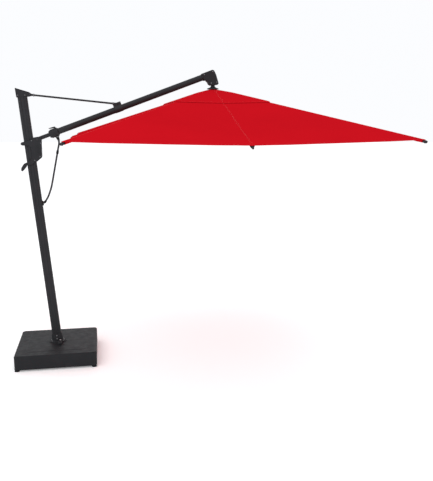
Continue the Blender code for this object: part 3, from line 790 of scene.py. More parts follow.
@dataclass
class Mast:
    """Leaning extrusion with its foot socket, top cap and the foot pedal."""

    width: float = 0.090
    depth: float = 0.066
    bolt: float = 0.0075
    bolt_height: float = 0.0040
    pedal_rows: int = 6

    def tube_finish(self) -> DrawnAluminium:
        """The extrusion's finish, with its lines up the mast."""
        return DrawnAluminium(CHARCOAL, tuple(Stand.axis("carriage_slide")))

    def dress(self) -> None:
        """Give the mast's frame parts their finishes."""
        Palette.dress("mast_tube", self.tube_finish())
        Palette.dress("mast_foot", PowderCoat(CHARCOAL))
        Palette.dress("mast_cap", MouldedPlastic(FITTING_GREY))
        Palette.dress("strut_rear_pin", PIN_BLACK)
        Palette.dress("mast_cord_gland", Rubber())
        Palette.dress("foot_pedal", PowderCoat(CHARCOAL, 0.5, 0.0015))

    def build_foot_bolts(self) -> None:
        """Socket-head bolts through the foot's socket, two on each broad side."""
        mast = Stand.mast()
        bolts = Draft()
        for side in (-1, 1):
            for height in (0.036, 0.068):
                surface = self.depth / 2 + 0.0066 + (0.085 - height) * 0.060
                place = mast @ Vector((0.0, side * surface, height))
                head = screw_head(self.bolt, self.bolt_height, Drive.HEXAGON)
                bolts.join(head.put(facing(place, Vector((0, side, 0)))))
        bolts.piece("foot_bolts", BareSteel((0.22, 0.22, 0.23), 0.42), Body.MAST.value)

    def build_flange_screws(self) -> None:
        """Four screws that hold the flange down to the spindle."""
        middle = Stand.pivot("mast_rotation")
        screws = Draft()
        for azimuth in (35, 145, 215, 325):
            out = Vector((cos(radians(azimuth)), sin(radians(azimuth)), 0)) * 0.0675
            place = middle + out + Vector((0, 0, 0.0118))
            lean = (Vector((0, 0, 1)) + out.normalized() * 0.42).normalized()
            screws.join(screw_head(0.0052, 0.0026, Drive.HEXAGON).put(facing(place, lean)))
        screws.piece("flange_screws", GREY_STEEL, Body.MAST.value)

    def build_cap_screws(self) -> None:
        """Screws through the cap's cheeks and the retaining rings of the strut's pin."""
        mast = Stand.mast()
        screws = Draft()
        for side in (-1, 1):
            for x, z in ((-0.036, 2.486), (0.030, 2.482)):
                place = mast @ Vector((x, side * 0.0358, z))
                head = screw_head(0.0050, 0.0024, Drive.HEXAGON)
                screws.join(head.put(facing(place, Vector((0, side, 0)))))
        screws.piece("cap_screws", DARK_STEEL, Body.MAST.value)
        pivot = Stand.pivot("strut_pivot")
        rings = Draft()
        for side in (-1, 1):
            place = pivot + Vector((0, side * 0.0363, 0))
            rings.join(screw_head(0.0068, 0.0022, Drive.PLAIN).put(facing(place, Vector((0, side, 0)))))
        rings.piece("strut_rear_rings", PIN_BLACK, Body.MAST.value)

    def build_pedal(self) -> None:
        """Grip bars and a bright stud on the foot pedal."""
        low, high = (Vector(corner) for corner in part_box("foot_pedal"))
        pivot = Stand.pivot("foot_pedal_press")
        rows = Draft()
        for row in range(self.pedal_rows):
            y = pivot.y - 0.034 - 0.0066 * row
            z = pivot.z + 0.0100 - 0.0015 - max(0.0, (-y + pivot.y - 0.030)) * 0.235
            bar = Draft().brick(Vector((low.x + 0.004, y - 0.0014, z - 0.002)),
                                Vector((high.x - 0.004, y + 0.0014, z + 0.0022)))
            rows.join(bar)
        rows.piece("pedal_grip", Rubber(), Body.PEDAL.value, rounded=0.0006)
        stud = screw_head(0.0085, 0.0045, Drive.PLAIN)
        place = Vector((pivot.x, pivot.y - 0.018, pivot.z + 0.0096))
        stud.put(Matrix.Translation(place))
        made = stud.piece("pedal_stud", BareSteel((0.55, 0.55, 0.56)), Body.PEDAL.value)
        lugs = Draft()
        for side in (-1, 1):
            x = pivot.x + side * 0.0235
            lugs.brick(Vector((x - 0.0032, pivot.y - 0.006, pivot.z - 0.0180)),
                       Vector((x + 0.0032, pivot.y + 0.013, pivot.z + 0.0065)))
        made = lugs.piece("pedal_lugs", PowderCoat(CHARCOAL), Body.MAST.value, rounded=0.0018)

    def build(self) -> None:
        """Build and dress the mast and its pedal."""
        self.dress()
        self.build_foot_bolts()
        self.build_flange_screws()
        self.build_cap_screws()
        self.build_pedal()


# ---------------------------------------------------------------- carriage


@dataclass
class Carriage:
    """Body that slides on the mast, with its roller, arm pin and release lever."""

    cheek: float = 0.045
    screw_places: tuple[tuple[float, float], ...] = (
        (0.035, 1.862), (0.088, 1.892), (0.030, 2.052), (0.112, 2.020),
    )
    plastic: MouldedPlastic = MouldedPlastic(FITTING_GREY, 0.48)

    def dress(self) -> None:
        """Give the carriage's frame parts their finishes."""
        Palette.dress("carriage_body", self.plastic)
        Palette.dress("arm_pin", PIN_BLACK)
        Palette.dress("guide_roller", Rubber((0.018, 0.018, 0.019), 0.60))
        Palette.dress("release_lever", MouldedPlastic(FITTING_GREY, 0.45, 0.0012))

    def build_screws(self) -> None:
        """Screws that join the two halves, and the roller's axle heads."""
        mast = Stand.mast()
        screws = Draft()
        heads = Draft()
        pivot = Stand.pivot("guide_roller_spin")
        for side in (-1, 1):
            outward = Vector((0, side, 0))
            for x, z in self.screw_places:
                place = mast @ Vector((x, side * (self.cheek - 0.0002), z))
                screws.join(screw_head(0.0048, 0.0022, Drive.HEXAGON).put(facing(place, outward)))
            place = pivot + Vector((0, side * (self.cheek - 0.0002), 0))
            heads.join(screw_head(0.0095, 0.0040, Drive.HEXAGON).put(facing(place, outward)))
        screws.piece("carriage_screws", DARK_STEEL, Body.CARRIAGE.value)
        heads.piece("roller_axle_heads", PIN_BLACK, Body.CARRIAGE.value)

    def build_pin_caps(self) -> None:
        """Domed caps over the ends of the arm pin."""
        pivot = Stand.pivot("arm_pivot")
        caps = Draft()
        for side in (-1, 1):
            place = pivot + Vector((0, side * 0.0452, 0))
            caps.join(screw_head(0.0110, 0.0042, Drive.HEXAGON).put(facing(place, Vector((0, side, 0)))))
        caps.piece("arm_pin_caps", PIN_BLACK, Body.CARRIAGE.value)

    def build_panel_ribs(self) -> None:
        """Stiffening ribs on each cheek of the carriage."""
        mast = Stand.mast()
        for side, name in ((-1, "near"), (1, "far")):
            panel = Draft()
            for x in (0.058, 0.070, 0.082, 0.094):
                low = Vector((x - 0.0016, side * (self.cheek - 0.001) - 0.0020, 1.912))
                high = Vector((x + 0.0016, side * (self.cheek - 0.001) + 0.0020, 2.006))
                panel.join(Draft().brick(low, high))
            panel.put(mast)
            made = panel.piece(f"cheek_ribs_{name}", self.plastic, Body.CARRIAGE.value, rounded=0.0008)

    def build_lever_grip(self) -> None:
        """Grip bars along the release lever's outer face."""
        lean = Stand.mast().to_3x3().to_4x4()
        pivot = Stand.pivot("release_lever_squeeze")
        grip = Draft()
        start = Vector((-0.0260, 0.0, -0.0052))
        end = Vector((-0.0466, 0.0, -0.0330))
        outward = Vector((-0.81, 0.0, 0.59)).normalized()
        for step in range(5):
            place = start.lerp(end, step / 4) + outward * 0.0004
            a = place + Vector((0, -0.026, 0))
            b = place + Vector((0, 0.026, 0))
            grip.join(Draft().bar(a, b, 0.0016, 8))
        grip.put(Matrix.Translation(pivot) @ lean)
        grip.piece("release_lever_grip", Rubber(), Body.RELEASE.value)

    def build(self) -> None:
        """Build and dress the carriage."""
        self.dress()
        self.build_screws()
        self.build_pin_caps()
        self.build_panel_ribs()
        self.build_lever_grip()


# ---------------------------------------------------------------- arm, strut and boom


@dataclass
class BoomArm:
    """Arm, side-tilt collar, strut and its bracket, boom tube and elbow."""

    collar_radius: float = 0.042
    collar_span: tuple[float, float] = (0.1465, 0.2045)
    collar_ribs: int = 26
    bracket_pin: tuple[float, float] = (0.8397, 0.050)
    boom_radius: float = 0.030
    fitting: MouldedPlastic = MouldedPlastic(FITTING_GREY, 0.47)

    def dress(self) -> None:
        """Give the arm's, the strut's and the boom's frame parts their finishes."""
        run = tuple(Stand.axis("side_tilt"))
        Palette.dress("arm_tube", DrawnAluminium(CHARCOAL, run))
        Palette.dress("boom_tube", DrawnAluminium(CHARCOAL, run))
        Palette.dress("tilt_collar", self.fitting)
        Palette.dress("collar_lever", MouldedPlastic(FITTING_GREY, 0.44, 0.0012))
        Palette.dress("strut_bracket", PowderCoat(CHARCOAL))
        Palette.dress("strut_front_pin", PIN_BLACK)
        Palette.dress("boom_cord_gland", Rubber())
        rear = Stand.pivot("strut_pivot")
        front = Stand.arm() @ Vector((self.bracket_pin[0], 0, self.bracket_pin[1]))
        Palette.dress("strut_rod", DrawnAluminium(CHARCOAL, tuple((front - rear).normalized())))
        Palette.dress("elbow", self.fitting)

    def build_collar_ribs(self) -> None:
        """Finger ribs round the collar, left out under the lever and at the cord."""
        start, end = self.collar_span
        ribs = Draft()
        for number in range(self.collar_ribs):
            angle = 2 * pi * number / self.collar_ribs
            up = abs((angle - pi / 2 + pi) % (2 * pi) - pi)
            down = abs((angle + pi / 2 + pi) % (2 * pi) - pi)
            if min(up, down) < radians(29):
                continue
            outward = Vector((0, cos(angle), sin(angle)))
            axis = outward * (self.collar_radius - 0.0002)
            a = axis + Vector((start, 0, 0))
            b = axis + Vector((end, 0, 0))
            ribs.join(Draft().bar(a, b, 0.0010, 8))
        ribs.put(Stand.arm())
        ribs.piece("collar_finger_ribs", self.fitting, Body.ARM.value)

    def build_collar_lever(self) -> None:
        """Grip bars on the collar's lever and the two lugs that hold it."""
        arm = Stand.arm()
        pivot = arm.inverted() @ Stand.pivot("collar_lever_lift")
        bars = Draft()
        for step in range(4):
            x = pivot.x - 0.030 - 0.0065 * step
            place = Vector((x, 0, pivot.z + 0.0088))
            bars.join(Draft().bar(place + Vector((0, -0.0085, 0)), place + Vector((0, 0.0085, 0)), 0.0011, 8))
        bars.put(arm)
        bars.piece("collar_lever_grip", Rubber(), Body.COLLAR_LEVER.value)
        lugs = Draft()
        for side in (-1, 1):
            y = side * 0.0138
            low = Vector((pivot.x - 0.0060, y - 0.0022, pivot.z - 0.0120))
            high = Vector((pivot.x + 0.0060, y + 0.0022, pivot.z + 0.0045))
            lugs.join(Draft().brick(low, high))
        lugs.put(arm)
        lugs.piece("collar_lever_lugs", self.fitting, Body.ARM.value, rounded=0.0015)

    def build_strut_ends(self) -> None:
        """Heads on the strut's front pin, and a lock nut at each end of the strut."""
        arm = Stand.arm()
        pin = Vector((self.bracket_pin[0], 0, self.bracket_pin[1]))
        low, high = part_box("strut_front_pin")
        reach = (high[1] - low[1]) / 2
        heads = Draft()
        for side in (-1, 1):
            place = arm @ (pin + Vector((0, side * (reach - 0.0003), 0)))
            heads.join(screw_head(0.0066, 0.0026, Drive.HEXAGON).put(facing(place, Vector((0, side, 0)))))
        heads.piece("strut_front_heads", PIN_BLACK, Body.ARM.value)
        rear = Stand.pivot("strut_pivot")
        front = arm @ pin
        run = (front - rear).normalized()
        nuts = Draft()
        for anchor, sense in ((rear, 1), (front, -1)):
            rings = []
            for offset, flats in ((0.030, 0.021), (0.031, 0.023), (0.040, 0.023), (0.041, 0.021)):
                rings.append([Vector((x, y, offset)) for x, y in hexagon(flats)])
            nuts.join(Draft().loft(rings).put(facing(anchor, run * sense)))
        made = nuts.piece("strut_lock_nuts", BareSteel((0.18, 0.18, 0.19), 0.45), Body.STRUT.value)

    def build_boom_ends(self) -> None:
        """Rubber ring at the boom's lower end and a bezel where it enters the elbow."""
        arm = Stand.arm()
        lie = arm @ Matrix.Rotation(pi / 2, 4, "Y")
        low_ring = [
            (self.boom_radius + 0.0003, 0.2126),
            (self.boom_radius + 0.0032, 0.2128),
            (self.boom_radius + 0.0036, 0.2150),
            (self.boom_radius + 0.0022, 0.2172),
            (self.boom_radius + 0.0003, 0.2176),
        ]
        ring = Draft().turned(low_ring, 32, closed=True).put(lie)
        made = ring.piece("boom_seal_ring", Rubber(), Body.BOOM.value)
        high_ring = [
            (self.boom_radius + 0.0003, 1.7235),
            (self.boom_radius + 0.0035, 1.7245),
            (self.boom_radius + 0.0050, 1.7280),
            (self.boom_radius + 0.0050, 1.7322),
            (self.boom_radius + 0.0003, 1.7322),
        ]
        ring = Draft().turned(high_ring, 32, closed=True).put(lie)
        made = ring.piece("elbow_bezel", self.fitting, Body.BOOM.value)

    def build_elbow_bolts(self) -> None:
        """Bolts through the elbow's cheeks."""
        arm = Stand.arm()
        bolts = Draft()
        for side in (-1, 1):
            for x, z in ((1.752, 0.018), (1.842, 0.018), (1.846, -0.092), (1.790, -0.082)):
                place = arm @ Vector((x, side * 0.0363, z))
                bolts.join(screw_head(0.0062, 0.0028, Drive.HEXAGON).put(facing(place, Vector((0, side, 0)))))
        bolts.piece("elbow_bolts", DARK_STEEL, Body.BOOM.value)

    def build(self) -> None:
        """Build and dress the arm, the strut and the boom."""
        self.dress()
        self.build_collar_ribs()
        self.build_collar_lever()
        self.build_strut_ends()
        self.build_boom_ends()
        self.build_elbow_bolts()


# ---------------------------------------------------------------- canopy


@dataclass
class Rib:
    """One rib of the canopy, as seen from the peak."""

    number: int
    kind: RibKind
    azimuth: float
    reach: float
    drop: float

    @property
    def outward(self) -> Vector:
        """Level direction out along the rib."""
        return Vector((cos(self.azimuth), sin(self.azimuth), 0.0))

    @property
    def across(self) -> Vector:
        """Level direction across the rib."""
        return Vector((-sin(self.azimuth), cos(self.azimuth), 0.0))

    @property
    def body(self) -> str:
        """Name of the body that carries it."""
        return f"rib_{self.number}"

    @property
    def joint(self) -> str:
        """Name of its folding joint."""
        return f"rib_{self.number}_fold"


@dataclass
class ClothForm:
    """Shape of the stretched cloth between the ribs."""

    depth: float = 2.80
    width: float = 3.50
    drops: dict[RibKind, float] = field(
        default_factory=lambda: {RibKind.CORNER: 0.4615, RibKind.SIDE: 0.4975, RibKind.END: 0.4615}
    )
    neck: float = 0.030
    apex_drop: float = 0.004
    sag: float = 0.004
    scallop: float = 0.014

    def ribs(self) -> list[Rib]:
        """The eight ribs, anticlockwise from +X."""
        half_depth = self.depth / 2
        half_width = self.width / 2
        corner = atan2(half_width, half_depth)
        reach = hypot(half_width, half_depth)
        quarter = [
            (RibKind.END, 0.0, half_depth),
            (RibKind.CORNER, corner, reach),
            (RibKind.SIDE, pi / 2, half_width),
            (RibKind.CORNER, pi - corner, reach),
        ]
        found = []
        for turn in (0.0, pi):
            for kind, azimuth, far in quarter:
                found.append(Rib(len(found) + 1, kind, azimuth + turn, far, self.drops[kind]))
        return found

    def over_rib(self, rib: Rib, share: float) -> Vector:
        """A point of the cloth over a rib, at a share of the way out from the neck."""
        out = self.neck + (rib.reach - self.neck) * share
        fall = self.apex_drop + (rib.drop - self.apex_drop) * share
        return rib.outward * out + Vector((0, 0, -fall))

    def between(self, first: Rib, second: Rib, share: float, across: float) -> Vector:
        """A point of the cloth between two neighbouring ribs.

        Args:
            first: the rib where across is 0.
            second: the rib where across is 1.
            share: how far out it lies, from 0 at the neck to 1 at the hem.
            across: how far it lies from the first rib to the second.

        Returns:
            The point, measured from the peak.
        """
        point = self.over_rib(first, share).lerp(self.over_rib(second, share), across)
        bow = 4 * across * (1 - across)
        point.z -= self.sag * bow * share
        pull = 1 - self.scallop * bow * share**6 / 1.4
        tension = sin(pi * bow) ** 2 * max(0.0, share - 0.45) ** 2
        point.z += 0.0040 * tension * cos(4.0 * pi * (across - 0.5))
        return Vector((point.x * pull, point.y * pull, point.z))


@dataclass
class SheetPart:
    """Extent and make of one layer of the canopy."""

    name: str
    shares: list[float]
    thickness: float
    hem: float
    seam_half: float
    seam_rise: float

    def rise(self, share: float) -> float:
        """How far this layer stands above the cloth's form."""
        return 0.0


@dataclass
class FlapPart(SheetPart):
    """The vent flap: it stands clear of the canopy under it."""

    lift: float = 0.0100

    def rise(self, share: float) -> float:
        """Height of the flap over the cloth's form: it grows from the cap, and its hem hangs back down."""
        end = self.shares[-1]
        droop = max(0.0, share - (end - 0.012)) / 0.012
        return self.lift * min(1.0, share / 0.10) - 0.0062 * droop**2


@dataclass
class Canopy:
    """Stretched canopy with its vent flap, hems, seams, rib pockets and rib fittings."""

    form: ClothForm = field(default_factory=ClothForm)
    flap_share: float = 0.31
    vent_share: float = 0.225
    thickness: float = 0.0012
    stitch: float = 0.0085
    keep: float = 0.12
    cloth: CanopyCloth = CanopyCloth()
    thread: SewingThread = SewingThread()

    def dress(self) -> None:
        """Give the canopy's frame parts their finishes."""
        run_metal = PowderCoat(CHARCOAL, 0.44)
        Palette.dress("hub_post", run_metal)
        Palette.dress("canopy_crown", MouldedPlastic(FITTING_GREY))
        Palette.dress("canopy_cap", MouldedPlastic(FITTING_GREY, 0.46))
        Palette.dress("runner", MouldedPlastic(FITTING_GREY))
        for rib in self.form.ribs():
            slope = -rib.drop / rib.reach
            run = (rib.outward + Vector((0, 0, slope))).normalized()
            Palette.dress(f"rib_{rib.number}", DrawnAluminium(CHARCOAL, tuple(round(v, 4) for v in run)))
            drawn = DrawnAluminium(CHARCOAL, tuple(round(v, 4) for v in run))
            Palette.dress(f"stretcher_{rib.number}", drawn)

    def columns(self, half_seam: float) -> list[tuple[float, float]]:
        """Steps away from a rib, as (share across, seam height share)."""
        heights = ((0.0, 1.0), (0.80, 1.0), (0.90, 0.9), (1.0, 0.0), (1.15, 0.0))
        steps = [(half_seam * share, height) for share, height in heights]
        return steps + [(w, 0.0) for w in (0.09, 0.14, 0.20, 0.27, 0.34, 0.42, 0.5)]

    def surface_row(
        self, ribs: list[Rib], index: int, share: float, part: SheetPart, up: float
    ) -> list[Vector]:
        """One row of points across a rib's sector, from mid-panel to mid-panel.

        Args:
            ribs: all ribs in order.
            index: the sector's rib.
            share: how far out the row lies.
            part: the layer it belongs to.
            up: height above the layer's middle face.

        Returns:
            Points measured from the peak.
        """
        own = ribs[index]
        before = ribs[index - 1]
        after = ribs[(index + 1) % len(ribs)]
        row = []
        for neighbour, reverse in ((before, True), (after, False)):
            chord = (self.form.over_rib(own, share) - self.form.over_rib(neighbour, share)).length
            half_seam = min(0.06, part.seam_half / chord)
            side = []
            for across, seam in self.columns(half_seam):
                if reverse:
                    point = self.form.between(neighbour, own, share, 1 - across)
                else:
                    point = self.form.between(own, neighbour, share, across)
                point.z += part.rise(share) + up + (seam * part.seam_rise if up >= 0 else 0.0)
                side.append(point)
            row += side[::-1] if reverse else side[1:]
        return row

    def build_sector(self, part: SheetPart, ribs: list[Rib], index: int) -> bpy.types.Object:
        """Build one rib's share of a layer: two faces, a folded hem and a raised seam.

        Args:
            part: the layer.
            ribs: all ribs in order.
            index: the sector's rib.

        Returns:
            The piece.
        """
        peak = Stand.peak()
        rib = ribs[index]
        far = (self.form.over_rib(rib, 1.0) - self.form.over_rib(rib, 0.0)).length
        hem_share = part.shares[-1] - part.hem / far
        levels = [(share, 0.0) for share in part.shares if share < hem_share - 0.006]
        hem = ((-0.0034, 0.0), (-0.0010, 0.0), (0.0, 0.0006), (0.0016, 0.0006))
        levels += [(hem_share + step, height) for step, height in hem]
        levels += [(part.shares[-1] - 0.0008, 0.0006), (part.shares[-1], 0.0002)]
        top = [self.surface_row(ribs, index, share, part, extra) for share, extra in levels]
        low = [self.surface_row(ribs, index, share, part, -self.thickness - extra) for share, extra in levels]
        bm = bmesh.new()
        uv_layer = bm.loops.layers.uv.new("cloth")
        count = len(top[0])
        rows = {}
        for key, grid in (("top", top), ("low", low)):
            rows[key] = [[bm.verts.new(point + peak) for point in row] for row in grid]
        layout = {}
        for key in rows:
            for row in rows[key]:
                for vert in row:
                    local = vert.co - peak
                    layout[vert] = (local.dot(rib.across), local.dot(rib.outward))
        for i in range(len(levels) - 1):
            for j in range(count - 1):
                t = rows["top"]
                b = rows["low"]
                bm.faces.new((t[i][j], t[i + 1][j], t[i + 1][j + 1], t[i][j + 1]))
                bm.faces.new((b[i][j], b[i][j + 1], b[i + 1][j + 1], b[i + 1][j]))
        for i in (0, len(levels) - 1):
            for j in range(count - 1):
                ends = (rows["top"][i][j], rows["top"][i][j + 1], rows["low"][i][j + 1], rows["low"][i][j])
                bm.faces.new(ends if i else ends[::-1])
        for j in (0, count - 1):
            for i in range(len(levels) - 1):
                ends = (rows["top"][i][j], rows["top"][i + 1][j], rows["low"][i + 1][j], rows["low"][i][j])
                bm.faces.new(ends[::-1] if j else ends)
        for face in bm.faces:
            face.smooth = True
            for loop in face.loops:
                loop[uv_layer].uv = layout[loop.vert]
        bm.normal_update()
        name = f"{part.name}_{rib.number}"
        mesh = bpy.data.meshes.new(name)
        bm.to_mesh(mesh)
        bm.free()
        mesh.set_sharp_from_angle(angle=radians(60))
        made = bpy.data.objects.new(name, mesh)
        bpy.context.scene.collection.objects.link(made)
        mesh.materials.append(Palette.get(self.cloth))
        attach(made, rib.body)
        LOG.info("made %s on %s", name, rib.body)
        return made

    def flat_size(self, part: SheetPart, ribs: list[Rib], index: int) -> tuple[float, float, float]:
        """Width, length and area that a sector was cut to.

        Args:
            part: the layer.
            ribs: all ribs in order.
            index: the sector's rib.

        Returns:
            Widest width, length along the rib, and flat area.
        """
        rows = [self.surface_row(ribs, index, share, part, -0.0001) for share in part.shares]
        widths = [length_of(row) for row in rows]
        rib = ribs[index]
        spine = [self.form.over_rib(rib, share) for share in part.shares]
        ends = [row[0].dot(rib.outward) for row in rows] + [row[-1].dot(rib.outward) for row in rows]
        tips = [point.dot(rib.outward) for point in spine]
        length = max(length_of(spine), max(ends + tips) - min(ends + tips))
        area = 0.0
        for low, high in zip(rows, rows[1:]):
            for j in range(len(low) - 1):
                area += ((high[j] - low[j]).cross(low[j + 1] - low[j])).length / 2
                area += ((high[j + 1] - high[j]).cross(high[j + 1] - low[j + 1])).length / 2
        return max(widths), length, area

    def stitches(self, line: list[Vector]) -> Draft:
        """Stitches along a line of points on the cloth, each a small drawn-in loop."""
        thread = Draft()
        travelled = 0.0
        due = self.stitch / 2
        for start, end in zip(line, line[1:]):
            run = end - start
            if run.length < 1e-6:
                continue
            along = run.normalized()
            side = along.cross(Vector((0, 0, 1))).normalized()
            up = side.cross(along)
            while due <= travelled + run.length:
                middle = start + along * (due - travelled)
                half = along * self.stitch * 0.36
                offsets = (side * 0.0006, up * 0.0007, side * -0.0006, up * -0.0006)
                belt = [middle + offset for offset in offsets]
                corners = [thread.bm.verts.new(point) for point in belt]
                tips = [thread.bm.verts.new(middle - half), thread.bm.verts.new(middle + half)]
                for j in range(4):
                    k = (j + 1) % 4
                    thread.bm.faces.new((corners[j], corners[k], tips[1]))
                    thread.bm.faces.new((corners[k], corners[j], tips[0]))
                due += self.stitch
            travelled += run.length
        return thread

    def build_stitching(self, part: SheetPart, ribs: list[Rib], index: int) -> bpy.types.Object:
        """Two rows of stitches along the rib's seam and one along the hem.

        Args:
            part: the layer.
            ribs: all ribs in order.
            index: the sector's rib.

        Returns:
            The piece.
        """
        peak = Stand.peak()
        rib = ribs[index]
        far = (self.form.over_rib(rib, 1.0) - self.form.over_rib(rib, 0.0)).length
        thread = Draft()
        start = max(part.shares[0], 0.03)
        stop = part.shares[-1] - 0.004
        shares = [start + (stop - start) * k / 24 for k in range(25)]
        for neighbour, reverse in ((ribs[index - 1], True), (ribs[(index + 1) % len(ribs)], False)):
            line = []
            for share in shares:
                chord = (self.form.over_rib(rib, share) - self.form.over_rib(neighbour, share)).length
                across = min(0.05, part.seam_half * 0.55 / chord)
                if reverse:
                    point = self.form.between(neighbour, rib, share, 1 - across)
                else:
                    point = self.form.between(rib, neighbour, share, across)
                line.append(peak + point + Vector((0, 0, part.rise(share) + part.seam_rise + 0.0001)))
            thread.join(self.stitches(line))
            share = part.shares[-1] - part.hem * 0.82 / far
            steps = [0.5 * k / 24 for k in range(25)]
            line = []
            for across in steps:
                if reverse:
                    point = self.form.between(neighbour, rib, share, 1 - across)
                else:
                    point = self.form.between(rib, neighbour, share, across)
                line.append(peak + point + Vector((0, 0, part.rise(share) + 0.0007)))
            thread.join(self.stitches(line))
        made = thread.piece(f"{part.name}_stitching_{rib.number}", self.thread, rib.body, crease=80)
        return made

    def fold(self, piece: bpy.types.Object) -> None:
        """Give a piece of cloth its own copy of its mesh."""
        peak = Stand.peak()
        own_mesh(piece)

    def build_layers(self) -> None:
        """Build the canopy and its vent flap, one sector for each rib."""
        ribs = self.form.ribs()
        main = [self.vent_share, 0.27, self.flap_share, 0.36, 0.42, 0.48, 0.54,
                0.60, 0.66, 0.72, 0.77, 0.82, 0.87,
                0.91, 0.94, 0.965, 1.0]
        upper = [0.0, 0.03, 0.06, 0.10, 0.15, 0.20, 0.25, 0.29, self.flap_share]
        parts = (
            SheetPart("canopy_sector", main, self.thickness, 0.026, 0.0085, 0.0008),
            FlapPart("vent_flap", upper, self.thickness, 0.014, 0.0070, 0.0006),
        )
        for part in parts:
            for index, rib in enumerate(ribs):
                sector = self.build_sector(part, ribs, index)
                stitching = self.build_stitching(part, ribs, index)
                width, length, area = self.flat_size(part, ribs, index)
                LOG.info("%s: cut %.3f by %.3f m, area %.3f", sector.name, width, length, area)
                if isinstance(part, FlapPart):
                    LOG.info("%s stands clear of the canopy", sector.name)
                else:
                    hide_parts(f"canopy_panel_{rib.number}")
                self.fold(sector)
                self.fold(stitching)

    def build_rib_fittings(self) -> None:
        """End plug, pocket, stretcher bracket and pin of each rib."""
        for rib in self.form.ribs():
            hinge = Stand.pivot(rib.joint)
            flat_run = rib.outward * (rib.reach - self.form.neck)
            run = (flat_run + Vector((0, 0, -(rib.drop - self.form.apex_drop)))).normalized()
            up = run.cross(rib.across) * -1.0
            up = up if up.z > 0 else -up
            place = Matrix((run, rib.across, up)).transposed().to_4x4()
            matrix = Matrix.Translation(hinge) @ place
            length = (rib.reach - 0.060) / hypot(run.x, run.y) + 0.010
            self.build_end_plug(rib, matrix, length)
            self.build_pocket(rib, matrix, length)
            self.build_bracket(rib, matrix)

    def build_end_plug(self, rib: Rib, matrix: Matrix, length: float) -> None:
        """Plastic plug over the rib's tip, with a stud that hooks the hem."""
        rows = (
            (length - 0.034, 0.0086, 0.0107),
            (length - 0.031, 0.0092, 0.0112),
            (length - 0.006, 0.0092, 0.0112),
            (length + 0.001, 0.0080, 0.0100),
            (length + 0.004, 0.0050, 0.0070),
        )
        rings = []
        for x, half_y, half_z in rows:
            ring = []
            for angle in (i * pi / 8 + pi / 16 for i in range(16)):
                c, s = cos(angle), sin(angle)
                power = 0.55
                y = half_y * (abs(c) ** power) * (1 if c > 0 else -1)
                z = half_z * (abs(s) ** power) * (1 if s > 0 else -1)
                ring.append(Vector((x, y, z - 0.0008)))
            rings.append(ring)
        plug = Draft().loft(rings).put(matrix)
        made = plug.piece(f"rib_plug_{rib.number}", MouldedPlastic(FITTING_GREY, 0.5), rib.body)
        stud = Draft().turned([(0.0046, 0.0), (0.0050, -0.0016), (0.0040, -0.0034), (0.0018, -0.0042)], 16)
        stud.put(matrix @ Matrix.Translation((length - 0.014, 0, -0.0112)))
        made = stud.piece(f"rib_stud_{rib.number}", MouldedPlastic(FITTING_GREY, 0.5), rib.body)

    def build_pocket(self, rib: Rib, matrix: Matrix, length: float) -> None:
        """Sewn pocket under the hem that the rib's tip slides into."""
        rows = []
        for k in range(9):
            t = k / 8
            x = length - 0.150 + 0.118 * t
            half = 0.0125 + 0.0030 * t
            depth = 0.0128 + 0.0010 * sin(pi * t)
            ring = []
            for j in range(13):
                angle = pi * j / 12
                y = half * cos(angle) * (1.0 + 0.35 * (1 - sin(angle)) ** 2)
                z = 0.0118 - (0.0118 + depth) * sin(angle) ** 0.6
                ring.append(Vector((x, y, z)))
            rows.append(ring)
        draft = Draft()
        grid = [[draft.bm.verts.new(point) for point in row] for row in rows]
        for low, high in zip(grid, grid[1:]):
            for j in range(len(low) - 1):
                draft.bm.faces.new((low[j], low[j + 1], high[j + 1], high[j]))
        draft.put(matrix)
        made = draft.piece(f"rib_pocket_{rib.number}", self.cloth, rib.body, crease=80)
        shell = made.modifiers.new("thickness", "SOLIDIFY")
        shell.thickness = 0.0012
        shell.offset = 1.0

    def build_bracket(self, rib: Rib, matrix: Matrix) -> None:
        """Folded bracket under the rib that carries its stretcher's pin."""
        pin = matrix.inverted() @ Stand.pivot(f"stretcher_{rib.number}_fold")
        cheeks = Draft()
        for side in (-1, 1):
            low = Vector((pin.x - 0.013, side * 0.0083 - 0.0008, pin.z - 0.0065))
            high = Vector((pin.x + 0.013, side * 0.0083 + 0.0008, 0.0060))
            cheeks.join(Draft().brick(low, high))
        cheeks.put(matrix)
        made = cheeks.piece(f"rib_bracket_{rib.number}", PowderCoat(CHARCOAL), rib.body, rounded=0.0005)
        pins = Draft()
        across = Vector((0, 1, 0))
        pins.join(Draft().bar(pin - across * 0.0108, pin + across * 0.0108, 0.0024))
        clamp = Vector((pin.x, 0, 0.0015))
        pins.join(Draft().bar(clamp - across * 0.0104, clamp + across * 0.0104, 0.0020))
        made = pins.put(matrix).piece(f"rib_bracket_pins_{rib.number}", BareSteel(), rib.body)

    def build_hub_pins(self) -> None:
        """Hinge pins of the ribs in the crown and of the stretchers in the runner."""
        crown = Draft()
        runner = Draft()
        low, high = (Vector(corner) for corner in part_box("runner"))
        middle = (low + high) / 2
        for rib in self.form.ribs():
            hinge = Stand.pivot(rib.joint)
            crown.join(Draft().bar(hinge - rib.across * 0.0120, hinge + rib.across * 0.0120, 0.0022))
            place = Vector((middle.x, 0, middle.z)) + rib.outward * 0.060
            runner.join(Draft().bar(place - rib.across * 0.0120, place + rib.across * 0.0120, 0.0022))
        crown.piece("crown_pins", BareSteel(), Body.BOOM.value)
        runner.piece("runner_pins", BareSteel(), Body.RUNNER.value)

